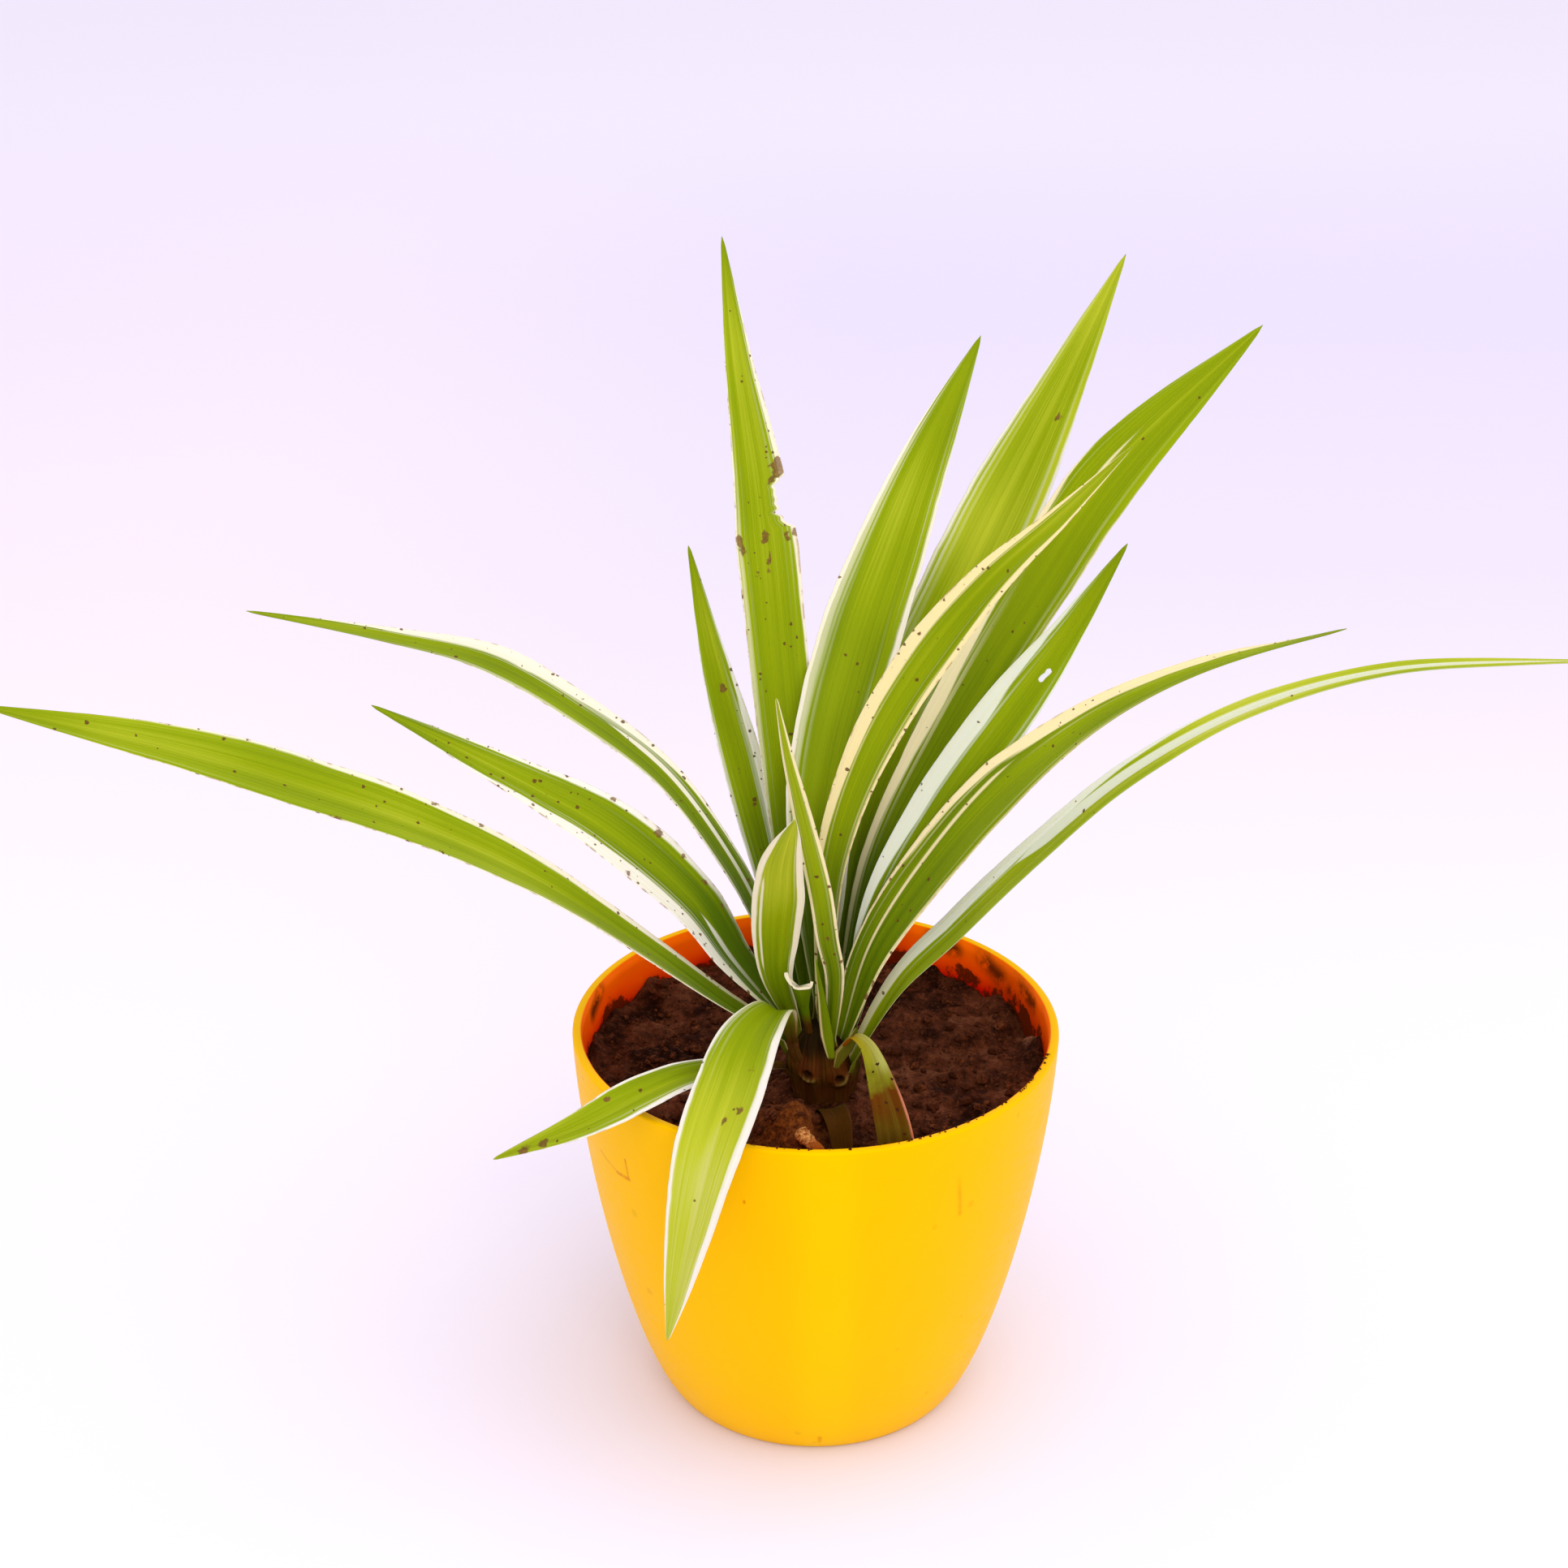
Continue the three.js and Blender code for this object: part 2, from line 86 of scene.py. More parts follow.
# One entry per leaf. low: height of the foot of its sheath. clasp: how much wider the sheath grows.
# clad: how far the sheath's dark colours reach up the blade, partly as painted shade on the stalk.
# heading: degrees from +X of the way it leans.
# width: widest, root: at the root, wide: where along the leaf it is widest. rise: above 1 it widens late.
# taper: near 0 it narrows straight to the tip. roll: degrees at root and tip, none if not given.
# tone: darker below 0, lighter above; partly the leaf's own green, partly painted light and shade for how
# lit it is.
# cream: of the margins, 0 white, 1 cream, below 0 greenish.
# dirt: fine specks. bite: a piece torn out of the right edge. midrib: root to tip. left, right: width of
# the pale margins, as a part of the half blade, at 0, 20, ... 100% of the length. line: a pale line inside
# the blade as (centre at root, centre at tip, half width, where it starts, where it ends). brown: dry
# patches as (along, across, radius), white ones with a radius below 0.
LEAVES = {
    "left_long": dict(
        low=76, heading=192, width=13.4, root=6.2, wide=0.66, rise=1.3, taper=0.45, roll=(15, 32), tone=0.0,
        cream=0.35, dirt=0.8,
        midrib=[(-7.5, -12.5, 87), (-18, -13, 95), (-36, -15, 111), (-54, -20, 127), (-74, -26, 141),
                (-95, -31, 152), (-117, -36, 162), (-152, -42, 174)],
        left=(0.16, 0.12, 0.08, 0.02, 0, -0.05), right=(0.16, 0.26, 0.22, 0.12, 0.04, -0.05),
        brown=[(0.61, -0.98, 1.1), (0.5, 0.95, 0.8), (0.44, 0.93, 0.8)]),
    "left_short": dict(
        low=77, heading=164, width=15.5, root=4.6, wide=0.46, taper=0.1, roll=(15, 25), tone=-0.12,
        cream=0.12, dirt=0.9,
        midrib=[(-6.4, -10.2, 90), (-17, -8, 103), (-25, -5, 114), (-42, 0, 128), (-55, 3, 135),
                (-89, 12, 150)],
        left=(0.3, 0.5, 0.5, 0.36, 0.12, -0.05), right=(0.06, 0.08, 0.14, 0.2, 0.16, -0.05),
        line=(0.0, 0.1, 0.1, -0.1, 0.3),
        brown=[(0.42, 0.85, 1.0), (0.36, 0.85, 0.7), (0.3, 0.8, 0.7), (0.25, 0.8, 0.5), (0.52, 0.9, 0.8),
               (0.42, -0.85, 0.7), (0.64, -0.8, 0.5)]),
    "left_arching": dict(
        low=78, heading=156, width=9.3, root=5, wide=0.62, rise=1.5, taper=0.05, roll=(10, 15), tone=-0.06,
        cream=0.25, dirt=0.8,
        midrib=[(-5.2, -7.8, 92.5), (-12, -4, 111), (-18, 1, 121), (-31, 10, 135.5), (-48, 20, 145),
                (-66, 27, 153), (-87, 33, 156), (-118, 40, 159)],
        left=(0.14, 0.2, 0.12, 0.08, 0, -0.05), right=(0.05, 0.08, 0.35, 0.7, 0.5, -0.05),
        line=(0.3, 0.35, 0.12, -0.1, 0.5)),
    "back_left": dict(
        low=79, heading=110, width=9.1, root=3.8, wide=0.52, rise=1.4, taper=0.45, tone=-0.06, cream=0.0,
        dirt=0.5,
        midrib=[(-3.8, -4.9, 93.5), (-9.5, 8, 114), (-15, 17, 134), (-21, 26, 154.5), (-26, 36, 175)],
        left=(0.08, 0.1, 0.1, 0.1, 0.06, -0.05), right=(0.3, 0.5, 0.5, 0.35, 0.1, -0.05),
        brown=[(0.68, 0.1, 0.9), (0.5, -0.2, 0.5), (0.42, 0.1, 0.6)]),
    "back_tall": dict(
        low=81, heading=100, width=12.9, root=4.8, wide=0.58, rise=0.8, taper=0.12, tone=0.06, cream=0.4,
        dirt=0.8, bite=dict(at=0.645, span=0.065, depth=0.5),
        midrib=[(-1.6, -5.8, 94), (-5, 8, 129), (-8, 20, 159), (-11.5, 32, 189), (-16, 44, 214),
                (-19, 55, 234)],
        left=(0.03, 0.04, 0.05, 0.06, 0.05, -0.05), right=(0.04, 0.04, 0.05, 0.14, 0.25, -0.05),
        brown=[(0.69, 0.85, 1.9), (0.675, 0.6, 0.9), (0.6, 0.7, 0.8), (0.605, 0.95, 0.9),
               (0.6, -0.9, 1.2), (0.6, 0.0, 1.1), (0.585, -0.8, 0.8), (0.575, 0.05, 0.8),
               (0.56, 0.02, 0.7), (0.555, -0.4, 0.7)]),
    "back_middle": dict(
        low=82, heading=78, width=17.6, root=4.8, wide=0.48, taper=3, tone=-0.02, cream=0.3, dirt=0.12,
        midrib=[(1.2, -8.8, 95), (1.5, 2, 135), (9, 20, 161), (15, 31, 175), (22, 43, 190), (34, 60, 212)],
        left=(0.12, 0.14, 0.14, 0.15, 0.14, -0.05), right=(0.12, 0.22, 0.2, 0.13, 0.06, -0.05)),
    "back_right_tall": dict(
        low=81, heading=72, width=17.8, root=4.6, wide=0.62, rise=0.8, taper=0.22, tone=0.14, cream=0.1,
        dirt=0.12,
        midrib=[(4, -6.8, 94), (9, 4, 123.5), (19, 20, 148), (33, 33, 173), (43, 42.5, 191), (63, 60, 229)],
        left=(0.1, 0.12, 0.14, 0.1, 0.06, -0.05), right=(0.12, 0.2, 0.28, 0.12, 0.05, -0.05),
        brown=[(0.78, 0.35, 0.8)]),
    "back_right_outer": dict(
        low=79, heading=52, width=14, root=4.6, wide=0.7, taper=0.7, roll=(-10, -35), tone=-0.1, cream=0.75,
        dirt=0.2,
        midrib=[(6, -9.4, 93), (13, -2.5, 123), (26, 7, 147), (43, 18, 172.5), (58, 25, 194),
                (88, 37, 221)],
        left=(0.12, 0.34, 0.5, 0.2, -0.05, -0.05), right=(0.03, 0.04, 0.05, 0.04, 0, -0.05),
        line=(-0.3, -0.3, 0.04, 0.66, 0.85)),
    "right_inner": dict(
        low=84, heading=12, width=10.3, root=4.4, wide=0.58, rise=1.9, taper=0.18, roll=(-60, -50),
        tone=0.0, cream=1.0, dirt=0.8,
        midrib=[(1.6, -11.2, 95), (3, -8, 125), (9, -5, 145), (18.6, -2, 162.6), (32.4, 0, 180.7),
                (46, 1, 194), (59, 1, 208)],
        left=(0.2, 0.36, 0.55, 0.5, 0.35, 0.1), right=(0.08, 0.1, 0.15, 0.22, 0.3, 0.1)),
    "right_small": dict(
        low=77.5, heading=20, width=11.6, root=4.2, wide=0.62, taper=0.22, roll=(-40, -50), tone=-0.1,
        cream=-0.4, dirt=0.12,
        midrib=[(7.6, -12.3, 91.5), (13, -11, 117), (24, -7, 137), (37, -3, 155), (47, 2, 167.5),
                (60, 8, 186)],
        left=(0.1, 0.34, 0.62, 0.62, 0.3, -0.05), right=(0.05, 0.06, 0.08, 0.08, 0.05, -0.05),
        brown=[(0.725, 0.3, -0.8), (0.74, 0.36, -0.8)]),
    "right_arching": dict(
        low=79, heading=-4, width=14.4, root=6, wide=0.46, rise=1.3, taper=0.03, roll=(-55, 5), tone=-0.06,
        cream=0.9, dirt=0.6,
        midrib=[(5.5, -14, 88.5), (12, -14.5, 110), (26.4, -15, 132.8), (38.4, -16, 147.4),
                (53.2, -17, 160.6), (70.3, -18, 170.2), (98, -20, 179.7)],
        left=(0.06, 0.08, 0.2, 0.5, 0.6, 0.2), right=(0.14, 0.12, 0.07, 0.04, 0, -0.05),
        line=(-0.2, -0.8, 0.05, -0.1, 0.55), brown=[(0.09, 0.9, 0.9), (0.115, 0.95, 0.7)]),
    "right_long": dict(
        low=75.5, heading=-15, width=9, root=4.8, wide=0.28, taper=1.1, roll=(-35, -10), tone=0.25,
        cream=-0.35, dirt=0.12,
        midrib=[(7.8, -15.6, 84), (17, -18.5, 104), (27, -21, 117), (42, -27, 137), (59, -32, 156),
                (79, -37, 171), (102, -43, 181), (140, -50, 186)],
        left=(0.45, 0.7, 0.5, 0.06, 0, -0.05), right=(0.02, 0.02, 0.02, 0.02, 0.02, -0.05),
        line=(-0.5, 0.1, 0.28, 0.3, 1.0)),
    "front_narrow": dict(
        low=85.5, clasp=0.1, heading=262, width=4.9, root=2.8, wide=0.42, rise=1.3, taper=3, tone=0.0,
        cream=0.85, dirt=0.5,
        midrib=[(2.9, -16.3, 89.5), (3.4, -18.3, 105), (2, -19, 113), (0.5, -20, 124), (-3, -18.5, 140),
                (-6, -17, 153), (-8, -14, 163)],
        left=(0.2, 0.22, 0.22, 0.26, 0.4, 0.4), right=(0.2, 0.22, 0.22, 0.26, 0.4, 0.4),
        brown=[(0.25, 0.75, 0.5), (0.25, -0.85, 0.5), (0.33, -0.1, 0.5)]),
    "front_upright": dict(
        low=82, clad=0.03, heading=268, width=10.5, root=3.8, wide=0.5, rise=1.7, taper=20, tone=0.14,
        cream=0.5, dirt=0.05,
        midrib=[(-4.4, -14.4, 91), (-8, -17, 104), (-8.2, -19, 113), (-7.6, -23, 124), (-7.1, -28, 134),
                (-4.5, -38, 149)],
        left=(0.1, 0.22, 0.26, 0.28, 0.3, 0.1), right=(0.08, 0.12, 0.16, 0.2, 0.3, 0.1),
        line=(0.62, 0.66, 0.05, 0.2, 0.7)),
    "front_drooping": dict(
        low=79, clad=0.12, heading=241, width=15.4, root=4.1, wide=0.42, rise=1.5, taper=3, tone=0.31,
        cream=0.1, dirt=0.12,
        midrib=[(-5.4, -16.4, 88.5), (-7.9, -20.9, 98.6), (-12.5, -31, 98.9), (-17, -43, 92),
                (-21, -51, 83), (-24, -56, 72), (-29, -60, 48)],
        left=(0.16, 0.2, 0.22, 0.25, 0.3, 0.1), right=(0.1, 0.1, 0.09, 0.1, 0.14, 0.1),
        brown=[(0.36, -0.4, 0.7), (0.45, -0.45, 0.9), (0.48, -0.1, 0.8)]),
    "left_drooping": dict(
        low=74.5, clad=0.16, heading=200, width=9.6, root=3.2, wide=0.6, rise=2, taper=0.05, roll=(10, 20),
        tone=0.1, cream=0.1, dirt=0.6,
        midrib=[(-6.8, -15.2, 82), (-16, -22, 86.5), (-25.7, -30, 88.9), (-33, -35, 88.2),
                (-45.6, -40, 83.9), (-63, -41, 77)],
        left=(0.2, 0.28, 0.3, 0.22, 0.06, -0.05), right=(0.08, 0.1, 0.1, 0.08, 0.03, -0.05),
        brown=[(0.84, -0.3, 1.2), (0.9, -0.5, 1.3), (0.62, 0.6, 0.7)]),
}

# The old leaves have no pale margins. age: 0 spotted, 1 brown all over.
OLD_LEAVES = {
    "old_bent": dict(
        heading=-65, width=8, root=1.4, wide=0.85, rise=1.7, tip=5, roll=(-20, 0), age=0.0,
        midrib=[(5, -18.1, 88), (7.5, -21.6, 93.1), (9.9, -24.8, 92.8), (13, -33, 87), (15, -39, 80),
                (15.5, -41, 70)]),
    "half_buried": dict(
        heading=-70, width=6, root=5, wide=0.4, tip=3, age=1.0,
        midrib=[(1.8, -24.5, 72), (2.7, -27.5, 79.8), (4, -33.5, 81), (5.4, -39.5, 74)]),
}

# Strips of old sheaths on the stem's front. along: where in the blade's colours they start and end.
# edge: width of their pale left edge. widths: from the first to the last place of the midrib.
STRIPS = {
    "front": dict(
        tone=0.12, along=(0.03, 0.005), edge=0.45, widths=(0.3, 1.0, 1.6, 2.2, 2.6, 1.6),
        midrib=[(-0.3, -18.9, 109), (0.2, -19.1, 105.2), (0.9, -19.3, 100.7), (1.8, -19.7, 93.3),
                (2.5, -20.4, 89.3), (2.9, -20.6, 87.4)]),
    "right": dict(
        tone=-0.2, along=(-0.03, -0.07), edge=0.3, widths=(0.4, 2.4, 3.4, 1.2),
        midrib=[(7.9, -18.3, 93.2), (7.2, -18.9, 91), (5.2, -20.4, 88), (3.9, -21.4, 85.8)]),
}


# Numbers

# Large numbers that scatter the corners of the noise's cubes into random values.
SCATTER_CORNER, SCATTER_SEED, SCATTER_AGAIN = (374761393, 668265263, 1274126177), 974634777, 1103515245


def lattice_noise(points, cell, seed):
    """Noise from -1 to 1: random values at the corners of cubes of side cell, blended with 3t2 - 2t3."""
    where = np.asarray(points, float) / cell
    corner = np.floor(where).astype(np.int64)
    t = where - corner
    t = t * t * (3 - 2 * t)
    total = 0
    for step in np.ndindex(2, 2, 2):
        n = (corner + step) @ np.array(SCATTER_CORNER) + seed * SCATTER_SEED
        n = (n ^ (n >> 13)) * SCATTER_AGAIN & 0x7FFFFFFF
        value = ((n ^ (n >> 16)) & 0xFFFF) / 32767.5 - 1
        total = total + value * np.abs(1 - np.array(step) - t).prod(-1)
    return total


def smooth(value, low, high):
    """0 below low, 1 above high and 3t2 - 2t3 between them."""
    t = np.clip((value - low) / (high - low), 0, 1)
    return t * t * (3 - 2 * t)


def flowing_line(points, samples=1500):
    """Centripetal Catmull-Rom curve through the points, as places at equal steps of its own length.

    The gaps between knots are the roots of the distances, and the ends are carried on straight."""
    p = np.array(points, float)
    p = np.vstack([2 * p[0] - p[1], p, 2 * p[-1] - p[-2]])
    t = np.linspace(0, len(points) - 1, samples)
    k = np.minimum(t.astype(int), len(points) - 2)
    w = (t - k)[:, None]
    p0, p1, p2, p3 = (p[k + i] for i in range(4))
    d0, d1, d2 = (np.sqrt(np.linalg.norm(gap, axis=1, keepdims=True)) for gap in (p1 - p0, p2 - p1, p3 - p2))
    start = ((p1 - p0) / d0 - (p2 - p0) / (d0 + d1) + (p2 - p1) / d1) * d1
    end = ((p2 - p1) / d1 - (p3 - p1) / (d1 + d2) + (p3 - p2) / d2) * d1
    line = p1 + start * w + (3 * (p2 - p1) - 2 * start - end) * w**2 + (2 * (p1 - p2) + start + end) * w**3
    length = np.concatenate([[0], np.cumsum(np.linalg.norm(np.diff(line, axis=0), axis=1))])
    even = np.linspace(0, length[-1], samples)
    return np.stack([np.interp(even, length, column) for column in line.T], 1), length[-1]


def places(line, s):
    """Places on a flowing line at fractions of its length."""
    steps = np.linspace(0, 1, len(line))
    return np.stack([np.interp(s, steps, column) for column in line.T], 1)


def unit(v):
    return v / np.linalg.norm(v, axis=-1, keepdims=True)


def turns(sides):
    """Equal turns about an axis, in radians."""
    return np.arange(sides) * TAU / sides


def filled(shape, *numbers):
    """A grid of this shape that holds these numbers or grids side by side at each of its places."""
    return np.stack([number + np.zeros(shape) for number in numbers], -1)


# Meshes

def link(name, data):
    """An object with this data, put into the scene."""
    made = bpy.data.objects.new(name, data)
    bpy.context.scene.collection.objects.link(made)
    return made


def make_piece(name, points, faces, material, values=None, across_along=None, smooth_faces=True):
    """A mesh object from points in mm and arrays of faces, with values stored at its points."""
    mesh = bpy.data.meshes.new(name)
    mesh.from_pydata((np.asarray(points) * MM).tolist(), [], [f for part in faces for f in part.tolist()])
    mesh.materials.append(material)
    mesh.polygons.foreach_set("use_smooth", np.full(len(mesh.polygons), smooth_faces))
    if across_along is not None:
        corners = np.empty(len(mesh.loops), np.int32)
        mesh.loops.foreach_get("vertex_index", corners)
        layer = mesh.uv_layers.new(name="across_along")
        layer.data.foreach_set("uv", np.ascontiguousarray(across_along[corners], np.float32).ravel())
    for key, value in (values or {}).items():
        kind, field = ("FLOAT", "value") if value.ndim == 1 else ("FLOAT_VECTOR", "vector")
        layer = mesh.attributes.new(key, kind, "POINT")
        layer.data.foreach_set(field, np.ascontiguousarray(value, np.float32).ravel())
    mesh.update()
    return link(name, mesh)


def tube_faces(rows, columns):
    """Quads between rings, and triangles from the first and last ring to a pole point each."""
    i, j = np.meshgrid(np.arange(rows - 1), np.arange(columns), indexing="ij")
    k = (j + 1) % columns
    quads = np.stack([i * columns + j, i * columns + k, (i + 1) * columns + k, (i + 1) * columns + j], -1)
    j, k = j[0], k[0]
    first, last, top = rows * columns, rows * columns + 1, (rows - 1) * columns
    return [quads.reshape(-1, 4), np.stack([np.full(columns, first), k, j], -1),
            np.stack([np.full(columns, last), top + j, top + k], -1)]


def with_poles(grid):
    """The grid's places in one row, and then the middles of its first and last ring."""
    return np.concatenate([grid.reshape(-1, *grid.shape[2:]), [grid[0].mean(0)], [grid[-1].mean(0)]])


def tube_piece(name, grid, material, values, own=None):
    """A closed tube from rings of points, with values and own (across, along) places given as rings too."""
    return make_piece(name, with_poles(grid), tube_faces(*grid.shape[:2]), material,
                      {key: with_poles(value) for key, value in values.items()},
                      None if own is None else with_poles(own))


def turned_grid(profile, sides):
    """Rings of a profile of radius and height, turned about the upright axis."""
    angle = turns(sides)
    r, z = profile[:, 0, None], profile[:, 1, None]
    return np.stack([r * np.cos(angle), r * np.sin(angle), z + 0 * angle], -1)


def across_and_back(u):
    """Places u across the upper face and back across the lower one, and 1 on the upper, -1 on the lower."""
    return np.concatenate([u, u[-2:0:-1]]), np.concatenate([np.ones(len(u)), -np.ones(len(u) - 2)])


# Leaves

def leaf_width(leaf, s):
    """Quarter sine, to a power, from the root's width to the widest place; then a fall down to the tip.

    The fall goes as past^2 / (past + taper), past being 0 at the widest place and 1 at the tip."""
    tip, taper = leaf.get("tip", 0.5), leaf.get("taper", 1.7)
    risen = np.sin(math.pi / 2 * np.minimum(s / leaf["wide"], 1)) ** leaf.get("rise", 1)
    rising = leaf["root"] + (leaf["width"] - leaf["root"]) * risen
    past = np.clip((s - leaf["wide"]) / (1 - leaf["wide"]), 0, 1)
    falling = tip + (leaf["width"] - tip) * (1 - (1 + taper) * past**2 / (past + taper))
    return np.where(s < leaf["wide"], rising, falling)


def leaf_frame(leaf, s):
    """Place, side, up and fold of a leaf at fractions s of its length, and that length.

    The side is the level direction square to the heading, made square to the midrib and rolled about it."""
    line, length = flowing_line(leaf["midrib"])
    tangent = unit(places(np.gradient(line, axis=0), s))
    heading = math.radians(leaf["heading"])
    level = np.array([math.sin(heading), -math.cos(heading), 0])
    side = unit(level - tangent * (tangent @ level)[:, None])
    first, last = leaf.get("roll", (0, 0))
    roll = -np.radians(first + (last - first) * s)[:, None]
    side = side * np.cos(roll) + np.cross(tangent, side) * np.sin(roll)
    fold = BLADE["fold"] + (BLADE["root_fold"] - BLADE["fold"]) * np.maximum(0, 1 - s / BLADE["clasp"]) ** 2
    return places(line, s), side, np.cross(side, tangent), np.radians(fold), length


def stem_oval(z):
    """Centre x, half width and half depth of the bundle of leaf bases at heights z."""
    height, *columns = np.array(STEM_RINGS, float).T
    return [np.interp(z, height, column) for column in columns]


def clasping_rows(leaf, row, ring, upper):
    """Rows below the root, the lowest first, where the blade's base wraps round the stem as a sheath.

    The middle keeps its angle about the stem and goes down to the height low, which is inside the stem.
    A row changes from the root's folded row to an arc of the stem's oval, a little wider than the root."""
    x, y, z = leaf["midrib"][0]
    e = np.linspace(1, 0, SHEATH["rows"] + 1)[:-1, None]
    level = z + (leaf["low"] - z) * e
    x0, a0, b0 = stem_oval(z)
    aside, forward = (x - x0) / a0, (y - STEM_Y) / b0
    angle, ratio = math.atan2(forward, aside), math.hypot(forward, aside)
    xm, a, b = stem_oval(level)
    snug = min(ratio, SHEATH["snug"])
    reach = ratio + (snug - ratio) * smooth(e, 0, 0.5) - SHEATH["sink"] * smooth(e, 0.65, 1)
    wide = SHEATH["width"] + leaf.get("clasp", SHEATH["clasp"]) * smooth(e, 0, 0.9)
    turn = angle - ring * leaf["root"] / 2 * wide / (np.maximum(reach, SHEATH["least"]) * (a + b) / 2)
    out = -upper * SHEATH["half_thick"]
    arc = np.stack([xm + (a * reach + out) * np.cos(turn), STEM_Y + (b * reach + out) * np.sin(turn),
                    level + SHEATH["edge_rise"] * e * ring**2 + 0 * turn], -1)
    middle = np.stack([xm + a * reach * math.cos(angle), STEM_Y + b * reach * math.sin(angle), level], -1)
    blend = smooth(e, 0, 0.75)[..., None]
    return (row + middle - (x, y, z)) * (1 - blend) + arc * blend, -SHEATH["colours"] * e


def blade_grid(leaf, seed, steps=150):
    """Closed folded blade, as rings round the blade from the foot of its sheath, if it has one, to the tip.

    A ring runs over the upper face from left edge to right edge and back over the lower face. Across the
    blade each half rises by the fold, with the crease rounded, and the edges wander and wave a little."""
    s = 0.5 - 0.5 * np.cos(np.linspace(0, math.pi, steps))
    s = 0.75 * np.linspace(0, 1, steps) + 0.25 * s
    bite = leaf.get("bite")
    if bite:
        near = bite["at"] + bite["span"] * np.linspace(-0.56, 0.56, 60)
        s = np.sort(np.concatenate([s[(s < near[0]) | (s > near[-1])], near]))
    place, side, up, fold, length = leaf_frame(leaf, s)
    u = np.sin(np.linspace(-1, 1, BLADE["columns"] + 1) * math.pi / 2)
    ring, upper = across_and_back(np.sign(u) * np.abs(u) ** 1.25)
    s2, u2 = np.meshgrid(s, ring, indexing="ij")
    ragged = np.stack([s2 * length, np.sign(u2), 0 * s2], -1)
    wander = sum(size * lattice_noise(ragged, cell, seed + more) for size, cell, more in RAGGED)
    half = leaf_width(leaf, s)[:, None] / 2
    if "tip" not in leaf:
        half = half * np.sqrt(np.clip((1.0005 - s2) / BLADE["tip_round"], 0.0004, 1))
    out = half * u2 * (1 + wander * np.abs(u2) ** 3)
    if bite:
        away = (s2 - bite["at"]) / (bite["span"] / 2)
        torn = 0.12 * lattice_noise(np.stack([s2 * length, 0 * s2, 0 * s2], -1), 0.9, seed)
        left_over = 1 - (bite["depth"] + torn) * np.sqrt(np.clip(1 - away**2, 0, 1))
        out = np.where(u2 > 0, out * left_over, out)
    rise = np.sqrt(out**2 + BLADE["crease"] ** 2) - BLADE["crease"]
    wave = BLADE["wave"] * lattice_noise(ragged * (1, 40, 1), BLADE["wave_cell"], seed + 3)
    thick = BLADE["edge"] + (BLADE["middle"] - BLADE["edge"]) * (1 - u2**2)
    thick = thick * np.sqrt(np.clip(1 - np.abs(u2) ** 9, 0, 1)) * np.minimum(1, half / 0.6)
    fold = fold[:, None]
    lift = rise * np.sin(fold) + wave * u2**2 * smooth(s2, 0.15, 0.4) + upper * thick / 2
    grid = place[:, None] + side[:, None] * (out * np.cos(fold))[..., None] + up[:, None] * lift[..., None]
    aside = half * u2
    if "low" in leaf:
        sheath, below = clasping_rows(leaf, grid[0], ring, upper)
        grid = np.concatenate([sheath, grid])
        s2 = np.concatenate([below + 0 * ring, s2])
        aside = np.concatenate([np.repeat(aside[:1], len(below), 0), aside])
    clad = leaf.get("clad", 0)
    own = np.stack([(ring + 0 * s2 + 1) / 2, s2 - clad * (1 - s2)], -1)
    return grid, own, s2, aside, length


def striped_leaf(name, leaf, seed, material):
    """One striped blade, with its margins, inner line and dry patches stored as values along it."""
    grid, own, s, aside, length = blade_grid(leaf, seed)
    left, right = (np.interp(s, np.linspace(0, 1, 6), leaf[side]) for side in ("left", "right"))
    start, end, half, first, last = leaf.get("line", (0, 0, -1, 2, 3))
    shown = smooth(s, first, first + 0.08) * (1 - smooth(s, last - 0.1, last))
    line = filled(s.shape, start + (end - start) * s, half * shown - 0.05 * (1 - shown), 0.37 * seed)
    brown = np.zeros(s.shape)
    for along, across, radius in leaf.get("brown", []):
        gap = np.hypot((s - along) * length * 0.8, aside - across * leaf_width(leaf, np.array(along)) / 2)
        spot = np.exp(-((gap / radius) ** 2))
        brown = np.where(spot > np.abs(brown), spot * math.copysign(1, radius), brown)
    values = {"margins": filled(s.shape, left, right, leaf["cream"]), "inner_line": line,
              "marks": filled(s.shape, leaf["dirt"], brown, leaf["tone"])}
    return tube_piece(name, grid, material, values, own)


# Nodes

def rgb(red, green, blue):
    """A colour read off a screen as 0 to 255, as the linear colour that the nodes take."""
    c = np.array([red, green, blue]) / 255
    return (*np.where(c <= 0.04045, c / 12.92, ((c + 0.055) / 1.055) ** 2.4).tolist(), 1.0)


class Value:
    """An output of a node. Each sum, difference, product and size without sign adds a Math node."""

    def __init__(self, nodes, socket):
        self.nodes, self.socket = nodes, socket

    def __add__(self, other):
        return self.nodes.maths("ADD", self, other)

    def __sub__(self, other):
        return self.nodes.maths("SUBTRACT", self, other)

    def __rsub__(self, other):
        return self.nodes.maths("SUBTRACT", other, self)

    def __mul__(self, other):
        return self.nodes.maths("MULTIPLY", self, other)

    def __abs__(self):
        return self.nodes.maths("ABSOLUTE", self)

    def swing(self, width):
        """A noise from 0 to 1, moved to swing about 0 over this width."""
        return (self - 0.5) * width


